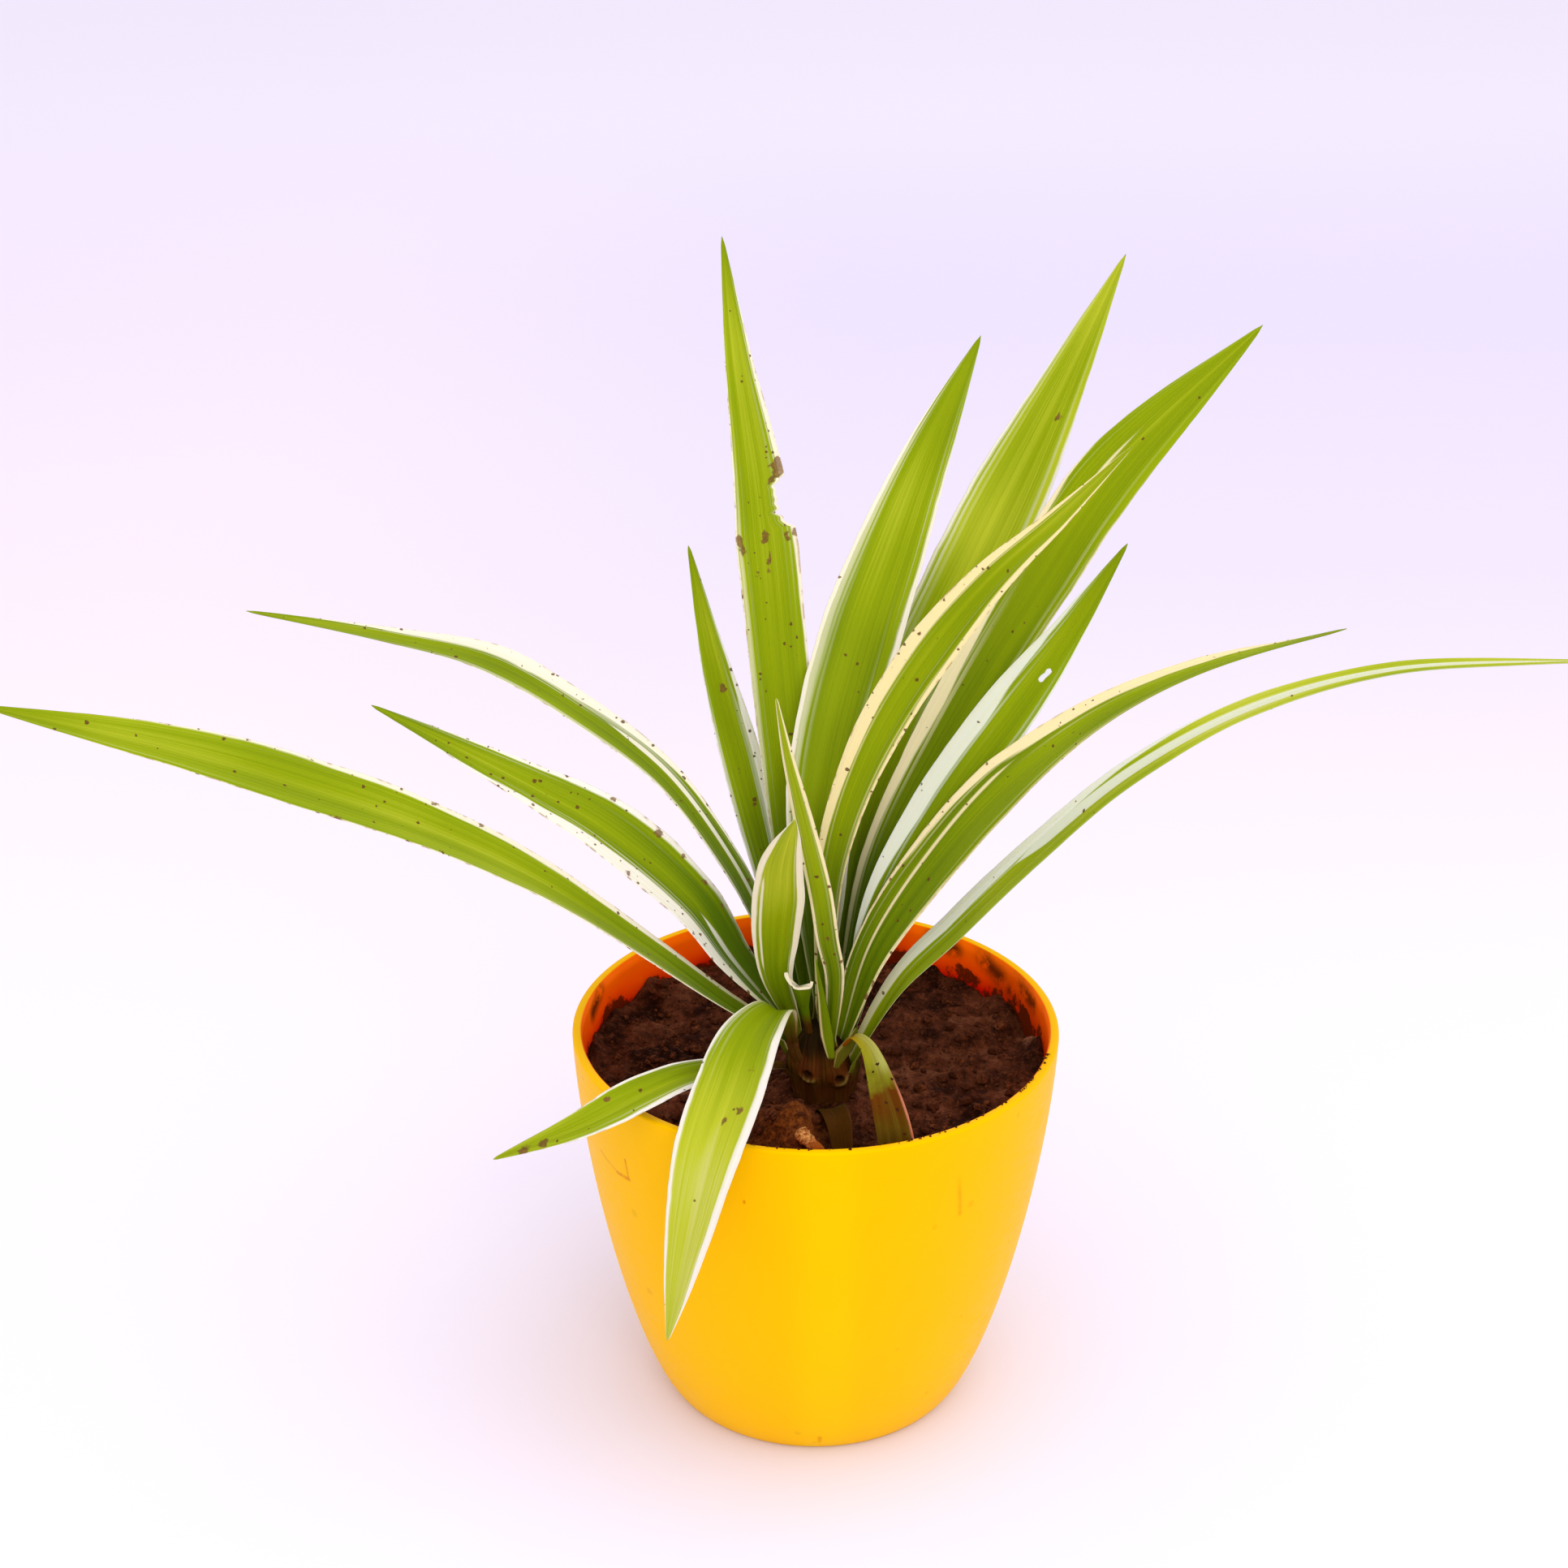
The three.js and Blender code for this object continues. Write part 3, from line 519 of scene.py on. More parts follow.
class Nodes:
    """Short words for placing the nodes of one material or group."""

    def __init__(self, tree):
        self.tree = tree

    def add(self, kind, inputs=None, **settings):
        """A node with its settings, its inputs joined to values or set to constants."""
        node = self.tree.nodes.new("ShaderNode" + kind)
        for key, value in settings.items():
            setattr(node, key, value)
        for key, value in (inputs or {}).items():
            self.join(value, node.inputs[key])
        return node

    def get(self, output, kind, inputs=None, **settings):
        """One output of a new node."""
        return Value(self, self.add(kind, inputs, **settings).outputs[output])

    def join(self, value, socket):
        """A value, a constant or a colour read off a screen, put into a socket."""
        if isinstance(value, Value):
            self.tree.links.new(value.socket, socket)
        elif socket.type == "RGBA" and len(value) == 3:
            socket.default_value = rgb(*value)
        else:
            socket.default_value = value

    def feed(self, sockets, **values):
        """Values joined to the sockets of these names, with _ for each space."""
        for key, value in values.items():
            self.join(value, sockets[key.replace("_", " ")])

    def maths(self, operation, a, b=0.0, clamp=False):
        return self.get(0, "Math", {0: a, 1: b}, operation=operation, use_clamp=clamp)

    def most(self, a, b):
        return self.maths("MAXIMUM", a, b)

    def vectors(self, operation, inputs, output=0):
        return self.get(output, "VectorMath", inputs, operation=operation)

    def step(self, value, low, high):
        """0 at low and 1 at high, smooth between them; low may be the greater."""
        return self.get("Result", "MapRange", {"Value": value, "From Min": low, "From Max": high},
                        interpolation_type="SMOOTHSTEP")

    def mix(self, factor, a, b):
        return self.get(2, "Mix", {0: factor, 6: a, 7: b}, data_type="RGBA")

    def paint(self, colour, *coats):
        """The colour under coats of others, each given as how much of it is laid on and its colour."""
        for amount, coat in coats:
            colour = self.mix(amount, colour, coat)
        return colour

    def ramp(self, value, *stages):
        """Colours that blend into one another between the stages, each given as a position and a colour."""
        node = self.add("ValToRGB", {0: value})
        marks = node.color_ramp.elements
        for mark, (position, colour) in zip(marks, (stages[0], stages[-1])):
            mark.position, mark.color = position, rgb(*colour)
        for position, colour in stages[1:-1]:
            marks.new(position).color = rgb(*colour)
        return Value(self, node.outputs[0])

    def noise(self, vector, scale, detail=2.0, roughness=0.5):
        return self.get("Fac", "TexNoise", {"Vector": vector, "Scale": scale, "Detail": detail,
                                            "Roughness": roughness})

    def vector(self, x, y, z=0.0):
        return self.get(0, "CombineXYZ", {0: x, 1: y, 2: z})

    def split(self, vector):
        """The three numbers of a vector or colour."""
        return [Value(self, part) for part in self.add("SeparateXYZ", {0: vector}).outputs]

    def stored(self, name, output="Fac"):
        """A value stored at the points, as a number or as a vector."""
        return self.get(output, "Attribute", attribute_name=name, attribute_type="GEOMETRY")

    def group(self, made, **inputs):
        """The outputs, by name, of a group placed in this tree."""
        node = self.add("Group", inputs, node_tree=made)
        return {socket.name: Value(self, socket) for socket in node.outputs}

    def place(self):
        return self.get("Object", "TexCoord")

    def near_line(self, place, start, end, width):
        """1 on the straight line between two places in mm, and 0 from the width on."""
        start, end = np.array(start) * MM, np.array(end) * MM
        way = (end - start).tolist()
        off = self.vectors("SUBTRACT", {0: place, 1: start.tolist()})
        part = self.vectors("DOT_PRODUCT", {0: off, 1: way}, "Value")
        part = self.maths("DIVIDE", part, float(np.dot(way, way)), clamp=True)
        shift = self.vectors("SCALE", {0: way, 3: part})
        return self.step(self.vectors("DISTANCE", {0: off, 1: shift}, "Value"), width * MM, 0.0)

    def bump(self, height, distance, strength=1.0):
        return self.get(0, "Bump", {"Height": height, "Distance": distance, "Strength": strength})


def new_group(name, inputs, outputs):
    """An empty node group. inputs: name and value, or None for a vector. outputs: names of its numbers."""
    group = bpy.data.node_groups.new(name, "ShaderNodeTree")
    for label, value in inputs.items():
        kind = "NodeSocketVector" if value is None else "NodeSocketFloat"
        socket = group.interface.new_socket(label, in_out="INPUT", socket_type=kind)
        if value is not None:
            socket.default_value = value
    for label in outputs:
        group.interface.new_socket(label, in_out="OUTPUT", socket_type="NodeSocketFloat")
    nodes = Nodes(group)
    given = {socket.name: Value(nodes, socket) for socket in group.nodes.new("NodeGroupInput").outputs}
    return group, nodes, given, group.nodes.new("NodeGroupOutput").inputs


def fine_veins_group():
    """Lines that run along a blade: fine ones for relief, broad soft bands and thin streaks for colour."""
    inputs = {"Across": 0.0, "Along": 0.0, "Seed": 0.0, "Count": 26.0}
    group, n, given, out = new_group("fine_veins", inputs, ("Lines", "Bands", "Streaks"))
    for name, count, stretch, detail in (("Lines", given["Count"], 2.0, 1.0), ("Bands", 2.6, 1.6, 1.0),
                                         ("Streaks", 9.0, 1.2, 0.5)):
        place = n.vector(given["Across"] * count, given["Along"] * stretch, given["Seed"])
        n.join(n.noise(place, 1.0, detail), out[name])
    return group


def dry_marks_group():
    """Specks, one in each of some random cells, and ragged blotches, both over the whole surface."""
    group, n, given, out = new_group("dry_marks", {"Place": None, "Amount": 0.3, "Cells": 820.0},
                                     ("Specks", "Blotches"))
    place, ragged = given["Place"], 0.0006
    shift = n.get("Color", "TexNoise", {"Vector": place, "Scale": 2200.0, "Detail": 2.0})
    shift = n.vectors("MULTIPLY", {0: shift, 1: (ragged, ragged, ragged)})
    cells = n.add("TexVoronoi", {"Vector": n.vectors("ADD", {0: place, 1: shift}), "Scale": given["Cells"]})
    fate, size, _ = n.split(Value(n, cells.outputs["Color"]))
    reach = n.maths("POWER", size, 3.0) * 0.22
    speck = n.step(Value(n, cells.outputs["Distance"]) - reach, 0.2, 0.1)
    n.join(speck * n.maths("LESS_THAN", fate, given["Amount"] * 0.36), out["Specks"])
    n.join(n.step(n.noise(place, 190.0, 4.0, 0.62), 0.58, 0.72), out["Blotches"])
    return group


def new_material(name, **sockets):
    """A material with one Principled shader, its plain sockets set."""
    material = bpy.data.materials.new(name)
    material.use_nodes = True
    shader = next(x for x in material.node_tree.nodes if x.type == "BSDF_PRINCIPLED")
    nodes = Nodes(material.node_tree)
    nodes.feed(shader.inputs, **sockets)
    return material, nodes, shader.inputs


def blade_places(n):
    """Across from -1 to 1 and along from 0 to 1, read from the blade's own map."""
    across, along, _ = n.split(n.get(0, "UVMap", uv_map="across_along"))
    return across * 2.0 - 1.0, along


def striped_blade_material(veins, marks):
    """Green blade with soft bands, pale margins that wander, thin pale lines and dry marks, and painted
    shade towards the root and on the lower parts of the back leaves.

    Below the root, where the sheath begins, the green turns dull olive and then brown."""
    material, n, shader = new_material(
        "striped_blade", Specular_IOR_Level=0.18, Specular_Tint=(0.95, 1.0, 0.3, 1.0),
        Subsurface_Weight=0.15, Subsurface_Scale=0.0012, Subsurface_Radius=(0.7, 1.0, 0.1))
    across, along = blade_places(n)
    left, right, cream = n.split(n.stored("margins", "Vector"))
    centre, half, seed = n.split(n.stored("inner_line", "Vector"))
    dirt, brown, tone = n.split(n.stored("marks", "Vector"))
    place = n.place()
    lines = n.group(veins, Across=across, Along=along, Seed=seed, Count=26.0)
    fine, streaks = lines["Lines"], lines["Streaks"]
    at_base = n.step(along, 0.2, 0.0)

    wander = n.noise(n.vector(along, seed), 9.0).swing(0.1) + streaks.swing(0.16)
    inside = n.maths("MINIMUM", across + 1.0 + wander - left, 1.0 - across + wander - right)
    margin = n.step(inside, 0.04, -0.04)
    line = n.step(abs(across - centre) - half, 0.03, -0.03)
    streak = n.step(streaks, 0.54, 0.66) * n.step(inside, 0.4, 0.0)
    faint = n.most(line * 0.85, streak * 0.5) * (1.0 - at_base * 0.45)

    shade = lines["Bands"].swing(0.42) + fine.swing(0.3) + n.noise(place, 26.0, 1.0).swing(0.6)
    # Painted shade: the green grows darker towards the root, where the leaves crowd together.
    shade = shade + (n.step(abs(across), 0.2, 0.0) * 0.04 - n.step(along, 0.66, 0.0) * 0.4)
    shade = n.maths("ADD", shade + tone, 0.5, clamp=True)
    green = n.ramp(
        shade, (0.0, (80, 106, 0)), (0.5, (138, 156, 0)), (0.8, (182, 190, 42)), (1.0, (204, 204, 112)))
    pale = n.paint(
        (240, 238, 226), (n.most(cream, 0.0), (244, 225, 160)),
        (n.maths("MULTIPLY", cream, -1.0, clamp=True), (178, 200, 150)),
        (n.step(fine, 0.4, 0.75) * 0.5, (218, 218, 170)), (at_base * 0.7, (206, 200, 120)))
    # Painted shade: dark green over the lower parts of the back leaves, past the stem's front.
    painted_shade_behind = n.step(n.split(place)[1], -0.015, -0.006) * n.step(along, 0.32, 0.08)

    fibres = n.step(fine, 0.2, 0.8)
    olive = n.mix(fibres, (66, 58, 4), (104, 104, 12))
    sheath = n.paint(olive, (margin * 0.5, (180, 150, 84)))
    sheath = n.mix(n.step(along, -0.045, -0.12), sheath, n.mix(fibres, (54, 30, 6), (96, 60, 16)))

    soiled = n.group(marks, Place=place, Amount=dirt * (margin + 0.3))
    patch = n.step(brown + n.noise(place, 900.0, 3.0).swing(1.3), 0.42, 0.66)
    worn = n.step(abs(across), 0.9, 1.0) * n.step(n.noise(place, 420.0, 3.0), 0.5, 0.66)
    dry = n.mix(n.noise(place, 1500.0), (52, 24, 8), (150, 96, 56))
    colour = n.paint(
        green, (n.most(margin, faint), pale), (painted_shade_behind * 0.7, (56, 78, 4)),
        (n.step(along, 0.02, -0.06), sheath), (worn * n.step(dirt, 0.0, 1.2), (156, 112, 72)),
        (soiled["Specks"] * 0.9, (96, 52, 26)), (patch * 0.85, dry),
        (n.step(brown * -1.0, 0.45, 0.6), (226, 226, 228)))
    relief = n.bump(fine * 0.6 + soiled["Specks"] * 0.5 + patch * 0.5, 0.00025, 0.6)
    n.feed(shader, Base_Color=colour, Roughness=n.step(fine, 1.4, -0.3), Normal=relief)
    return material


def old_leaf_material(veins, marks):
    """Dying leaf: orange at its root, then pale green, brown and dark green, with a dry pink edge."""
    material, n, shader = new_material("old_leaf", Roughness=0.6, Specular_IOR_Level=0.06,
                                       Specular_Tint=(1.0, 0.9, 0.4, 1.0))
    across, along = blade_places(n)
    place = n.place()
    lines = n.group(veins, Across=across, Along=along, Seed=4.0, Count=16.0)
    soiled = n.group(marks, Place=place, Amount=0.8)
    cloud = n.noise(place, 170.0, 3.0, 0.6)
    aged = n.ramp(
        along + cloud.swing(0.24), (0.0, (150, 66, 6)), (0.12, (200, 118, 6)), (0.22, (166, 154, 30)),
        (0.36, (142, 142, 30)), (0.45, (116, 112, 18)), (0.51, (96, 46, 2)), (0.62, (90, 48, 2)),
        (0.7, (84, 62, 4)), (0.8, (68, 54, 4)), (1.0, (44, 50, 10)))
    leftward = across * -1.0
    pale = n.step(leftward, -0.4, 0.8) * n.step(along, 0.1, 0.2) * n.step(along, 0.46, 0.36)
    edge = n.step(leftward + cloud * 0.2, 0.9, 1.02) * n.step(along, 0.35, 0.6)
    colour = n.paint(
        aged, (pale * 0.6, (196, 194, 110)), (n.step(lines["Bands"], 0.4, 0.7) * 0.4, (110, 92, 22)),
        (edge, (196, 124, 90)), (n.stored("age") * 0.95, n.mix(cloud, (36, 16, 0), (78, 44, 2))),
        (soiled["Specks"], (60, 30, 14)))
    n.feed(shader, Base_Color=colour, Normal=n.bump(lines["Lines"] + cloud, 0.0004, 0.7))
    return material


def stem_material(veins, marks):
    """Old sheath bases: olive and brown fibres running up, rusty round the scars, kept dark partly as
    painted shade.

    Painted shade also darkens the grooves, fills the scar holes near black and darkens the top under the
    leaves.
    """
    material, n, shader = new_material("stem_fibre", Roughness=0.7, Specular_IOR_Level=0.12,
                                       Specular_Tint=(1.0, 0.8, 0.4, 1.0))
    place = n.place()
    x, y, z = n.split(place)
    round_it = n.maths("ARCTAN2", y - STEM_Y * MM, x)
    lines = n.group(veins, Across=round_it, Along=z * 20.0, Seed=7.0, Count=14.0)
    soiled = n.group(marks, Place=place, Amount=0.9)
    cloud = n.noise(place, 260.0, 3.0)
    green = n.mix(n.step(lines["Bands"] + cloud * 0.4, 0.5, 0.9), (38, 24, 4), (78, 72, 12))
    # Painted shade: near black in the scar holes, darker in the grooves, and near black at the top under the
    # leaf bases.
    colour = n.paint(
        green, (n.stored("rust") * 0.9, n.mix(cloud, (58, 18, 2), (124, 56, 12))),
        (n.stored("lip") * 0.9, (140, 122, 52)), (n.stored("socket") * 0.95, (20, 8, 3)),
        (n.step(lines["Lines"], 0.55, 0.3) * 0.5, (38, 20, 4)), (soiled["Blotches"] * 0.6, (60, 28, 10)),
        (n.step(z, 0.0815, 0.0785) * 0.75, (78, 34, 5)), (n.step(z, 0.0845, 0.088) * 0.85, (26, 13, 3)))
    n.feed(shader, Base_Color=colour, Normal=n.bump(lines["Lines"] + soiled["Blotches"], 0.0006, 0.8))
    return material


def pot_material(marks):
    """Glossy yellow plastic with a painted reflection band in front and a few faint scuffs.

    Inside, a painted red orange glow and shade on the wall, and dark smears where soil clings.
    """
    material, n, shader = new_material("yellow_plastic", IOR=1.18, Specular_IOR_Level=0.3,
                                       Emission_Strength=0.26, Specular_Tint=(1.0, 0.6, 0.0, 1.0))
    place = n.place()
    x, y, _ = n.split(place)
    soiled = n.group(marks, Place=place, Amount=0.12, Cells=300.0)
    inside, height, _ = n.split(n.stored("wall", "Vector"))
    # Painted reflection: a slightly lighter band down the front of the pot.
    painted_reflection_band = n.step(abs(x - 0.0018), 0.009, 0.002) * n.step(y, 0.0, -0.02)
    outer = n.paint(n.mix(n.noise(place, 22.0), (255, 190, 0), (255, 198, 0)), (painted_reflection_band * 0.45, (255, 206, 0)))
    blurred = n.noise(place, 60.0)
    # Painted light on the inner wall: a red orange glow as if light came through the plastic, redder and
    # darker towards the soil as painted shade.
    inner_glow_and_shade = n.ramp(
        height + blurred.swing(0.7), (0.1, (196, 14, 0)), (0.5, (240, 76, 0)), (1.0, (246, 104, 0)))
    clinging = n.noise(place, 120.0, 5.0, 0.65)
    patchy = n.step(n.noise(place, 34.0, 1.0), 0.5, 0.6) * n.step(clinging, 0.5, 0.6)
    smear = n.most(n.step(height + clinging.swing(1.9), 0.2, 0.06), patchy * 0.3)
    for start, end, reach in SMEARS:
        smear = n.most(smear, n.near_line(place, start, end, reach) * n.step(clinging, 0.34, 0.5))
    inner = n.paint(inner_glow_and_shade, (n.step(blurred, 0.5, 0.36) * 0.3, (140, 66, 0)), (smear * 0.9, (58, 20, 3)))
    colour = n.paint(outer, (inside, inner), (soiled["Specks"] * 0.2, (196, 124, 4)))
    for start, end, width, strength in SCUFFS:
        torn = n.near_line(place, start, end, width) * (n.step(clinging, 0.3, 0.6) * strength)
        colour = n.mix(torn, colour, (214, 96, 0))
    rub = n.noise(n.vectors("MULTIPLY", {0: place, 1: (1, 1, 6)}), 260.0, 4.0, 0.6)
    # Emission on the inner wall only: a painted glow of light through the plastic, not a lamp.
    n.feed(shader, Base_Color=colour, Emission_Color=n.mix(inside, (0, 0, 0), inner),
           Roughness=n.step(rub, -0.6, 1.8) + smear * inside * 0.4, Normal=n.bump(blurred, 0.0002, 0.2))
    return material


def soil_material():
    """Damp dark soil: soft clumps from near black to red brown and light brown, with grains."""
    material, n, shader = new_material("damp_soil", Roughness=0.9, Specular_IOR_Level=0.06)
    place = n.place()
    broad = n.noise(place, 200.0, 4.0, 0.6)
    grain = n.noise(place, 900.0, 4.0, 0.68)
    mottled = n.noise(place, 75.0) * 0.6 + broad * 0.4
    clod = n.near_line(place, *LIGHT_CLOD) * n.step(broad, 0.36, 0.5)
    rusty = n.mix(n.step(grain, 0.3, 0.7), (74, 28, 4), (156, 84, 26))
    colour = n.paint(
        n.mix(n.step(mottled, 0.4, 0.56), (42, 15, 4), (96, 48, 26)),
        (n.step(mottled, 0.52, 0.62) * 0.75, (128, 76, 50)),
        (n.step(grain, 0.5, 0.75) * 0.5, (142, 80, 46)), (n.step(grain, 0.5, 0.25) * 0.8, (26, 8, 3)),
        (clod, n.mix(grain, (110, 62, 38), (196, 130, 92))), (n.stored("rust"), rusty))
    pits = n.get("Distance", "TexVoronoi", {"Vector": place, "Scale": 800.0})
    n.feed(shader, Base_Color=colour, Normal=n.bump(grain + pits * -0.6, 0.0011))
    return material


def crumb_material():
    """Loose crumbs of the same soil, a little lighter and drier."""
    material, n, shader = new_material("dry_crumb", Roughness=0.9, Specular_IOR_Level=0.08)
    place = n.place()
    grain = n.noise(place, 1400.0, 4.0, 0.65)
    colour = n.paint(
        n.mix(n.step(grain, 0.35, 0.7), (48, 18, 6), (122, 64, 30)),
        (n.step(n.noise(place, 260.0), 0.4, 0.65), (70, 32, 12)))
    n.feed(shader, Base_Color=colour, Normal=n.bump(grain, 0.0005, 0.8))
    return material


def bark_material():
    """Orange brown chip with a paler granular cut end."""
    material, n, shader = new_material("bark_chip", Roughness=0.8, Specular_IOR_Level=0.1)
    grain = n.noise(n.place(), 1500.0, 5.0, 0.7)
    skin = n.mix(grain, (120, 54, 12), (206, 112, 30))
    cut = n.mix(n.step(grain, 0.4, 0.6), (150, 76, 22), (244, 176, 98))
    n.feed(shader, Base_Color=n.mix(n.stored("cut_end"), skin, cut), Normal=n.bump(grain, 0.0008))
    return material


def floor_material():
    """Plain pale floor, barely warmer and cooler in a cloud, with painted shade on the far floor and a
    painted lilac tint round the pot that cancels the warm light bounced off it.
    """
    material, n, shader = new_material("pale_floor", Roughness=0.95, Specular_IOR_Level=0.1)
    place = n.place()
    x, y, _ = n.split(place)
    # Painted light: lilac round the pot against its warm bounce light, and painted shade on the far floor.
    painted_lilac_against_bounce = n.step(n.vectors("LENGTH", {0: place}, "Value"), 0.17, 0.04)
    painted_far_shade = n.mix(n.step(x, -0.25, 0.05), (246, 237, 251), (236, 229, 248))
    colour = n.paint(
        n.mix(n.noise(place, 1.6), (250, 242, 252), (247, 244, 254)),
        (n.step(y, 0.05, 0.5) * n.step(y, 1.3, 0.75), painted_far_shade), (painted_lilac_against_bounce, (240, 239, 255)))
    n.feed(shader, Base_Color=colour)
    return material


# Pieces

def pot_radius(z):
    """Outer radius at a height: base radius plus the rest times (1 - (1 - z/height)^shoulder)^(1/foot)."""
    down = 1 - np.asarray(z, float) / POT["height"]
    return POT["base"] + (POT["rim"] - POT["base"]) * (1 - down ** POT["shoulder"]) ** (1 / POT["foot"])


def yellow_pot(material):
    """Turned wall from the base up the outside, over the rounded rim and down the inside to the floor."""
    wall, top, r, floor_top = POT["wall"], POT["height"], POT["rim_round"], POT["floor"]
    z_out = (top - r) * np.linspace(0, 1, 64) ** 1.7
    z_in = np.linspace(top - r, 2 * floor_top, 40)
    turn = np.linspace(0, math.pi / 2, 6)[1:]
    base = np.array([[2.0, 0], [16.0, 0], [26.0, 0]])
    outer = np.stack([pot_radius(z_out), z_out], 1)
    lip_out = np.stack([POT["rim"] - r + r * np.cos(turn), top - r + r * np.sin(turn)], 1)
    lip_in = np.stack([POT["rim"] - wall + r - r * np.sin(turn), top - r + r * np.cos(turn)], 1)
    inner = np.stack([pot_radius(z_in) - wall, z_in], 1)
    floor_edge = float(pot_radius(floor_top)) - 2 * wall
    floor = np.array([[floor_edge, floor_top], [12.0, floor_top], [2.0, floor_top]])
    profile = np.vstack([base, outer, lip_out, lip_in, inner, floor])
    grid = turned_grid(profile, POT["sides"])
    level = (profile[:, 1, None] - SOIL["level"]) / (top - SOIL["level"])
    within = np.arange(len(profile))[:, None] > len(base) + len(outer) + len(lip_out)
    return tube_piece("yellow_pot", grid, material, {"wall": filled(grid.shape[:2], within, level, 0)})


def soil_edge():
    return float(pot_radius(SOIL["level"])) - POT["wall"]


def lump_gap(x, y):
    """Distance from the middle of the soil's lump, over its radius."""
    return np.hypot(x - SOIL["lump"][0], y - SOIL["lump"][1]) / SOIL["lump_radius"]


def soil_height(x, y):
    """Height of the soil over its mean: slow waves, a lump in front, a heap round the stem and grains."""
    waves = (0.9 * np.sin(0.16 * x + 0.6) * np.cos(0.19 * y) + 0.6 * np.sin(0.31 * x - 0.23 * y)
             + 0.4 * np.cos(0.47 * y + 0.2 * x))
    flat = np.stack([x, y, 0 * x], -1)
    noises = [lattice_noise(flat, cell, seed) for seed, (_, cell) in enumerate(CLODS, 1)]
    noises[:2] = [0.5 - np.abs(noise) for noise in noises[:2]]
    clods = sum(size * noise for (size, _), noise in zip(CLODS, noises)) - 0.5
    stem_gap = ((x - STEM_CORE[0][1]) ** 2 + (y - STEM_Y) ** 2) / SOIL["heap_radius"] ** 2
    heap = SOIL["heap_height"] * np.exp(-stem_gap)
    return waves + SOIL["lump_height"] * np.exp(-2 * lump_gap(x, y) ** 2) + heap + clods


def potting_soil(material):
    """Round bed of soil: rings of growing radius with the soil's height, closed below the surface."""
    edge = soil_edge() - 0.15
    angle = turns(SOIL["sides"])
    r = np.linspace(1, edge, SOIL["rings"])[::-1, None]
    x, y = r * np.cos(angle), r * np.sin(angle)
    climb = smooth(r, edge - 4, edge) * (0.8 + 1.6 * lattice_noise(np.stack([x, y, 0 * x], -1), 5.0, 8))
    top = np.stack([x, y, SOIL["level"] + soil_height(x, y) + climb], -1)
    under = np.array([[2.0, 60.0], [30.0, 60.0], [edge - 1.2, 60.0], [edge - 0.3, 66.0]])
    grid = np.concatenate([turned_grid(under, SOIL["sides"]), top])
    rust = 0.75 * np.exp(-1.2 * lump_gap(grid[..., 0], grid[..., 1]) ** 2)
    return tube_piece("potting_soil", grid, material, {"rust": rust})


# Twenty-sided ball: corners on three crossed golden rectangles, and its triangles.
GOLDEN = 1.618
SIGNS = [(q, p) for p in (1, -1) for q in (1, -1)]
LUMP_CORNERS = unit(np.array([(0, q, p * GOLDEN) for q, p in SIGNS] + [(q, p * GOLDEN, 0) for q, p in SIGNS]
                             + [(q * GOLDEN, 0, p) for q, p in SIGNS]))
LUMP_FACES = np.array([(0, 1, 8), (0, 9, 1), (0, 4, 5), (0, 8, 4), (0, 5, 9), (2, 10, 3), (2, 3, 11),
                       (2, 5, 4), (2, 4, 10), (2, 11, 5), (1, 6, 8), (1, 7, 6), (1, 9, 7), (3, 6, 7),
                       (3, 10, 6), (3, 7, 11), (4, 8, 10), (5, 11, 9), (6, 10, 8), (7, 9, 11)])


def lumps(name, centres, radii, material, seed):
    """Many small uneven lumps in one mesh: twenty-sided balls, each corner pushed in or out at random."""
    rng = np.random.default_rng(seed)
    radii = np.stack([radii, radii, 0.75 * radii], 1)
    push = rng.uniform(0.7, 1.25, (len(centres), len(LUMP_CORNERS), 1))
    spin = rng.uniform(0, TAU, len(centres))
    x, y, z = np.moveaxis(LUMP_CORNERS[None] * push, -1, 0)
    c, s = np.cos(spin)[:, None], np.sin(spin)[:, None]
    points = centres[:, None] + np.stack([x * c - y * s, x * s + y * c, z], -1) * radii[:, None]
    faces = LUMP_FACES[None] + len(LUMP_CORNERS) * np.arange(len(centres))[:, None, None]
    return make_piece(name, points.reshape(-1, 3), [faces.reshape(-1, 3)], material, smooth_faces=False)


def soil_crumbs(material):
    """Crumbs scattered on the soil, thicker by the wall, and a few left on the front of the rim."""
    on_bed, on_rim = 900, 110
    rng = np.random.default_rng(5)
    r = (soil_edge() - 1.5) * np.sqrt(rng.uniform(0.02, 1, on_bed))
    angle = rng.uniform(0, TAU, on_bed)
    size = 0.28 + 1.3 * rng.uniform(0, 1, on_bed) ** 3
    x, y = r * np.cos(angle), r * np.sin(angle)
    bed = np.stack([x, y, SOIL["level"] + soil_height(x, y) + 0.3 * size], 1)
    angle = np.radians(rng.uniform(-110, -15, on_rim))
    grit = 0.1 + 0.26 * rng.uniform(0, 1, on_rim) ** 2
    r = POT["rim"] - POT["wall"] + rng.uniform(-0.1, 0.9, on_rim)
    rim = np.stack([r * np.cos(angle), r * np.sin(angle), POT["height"] + 0.25 * grit], 1)
    return lumps("soil_crumbs", np.vstack([bed, rim]), np.concatenate([size, grit]), material, 6)


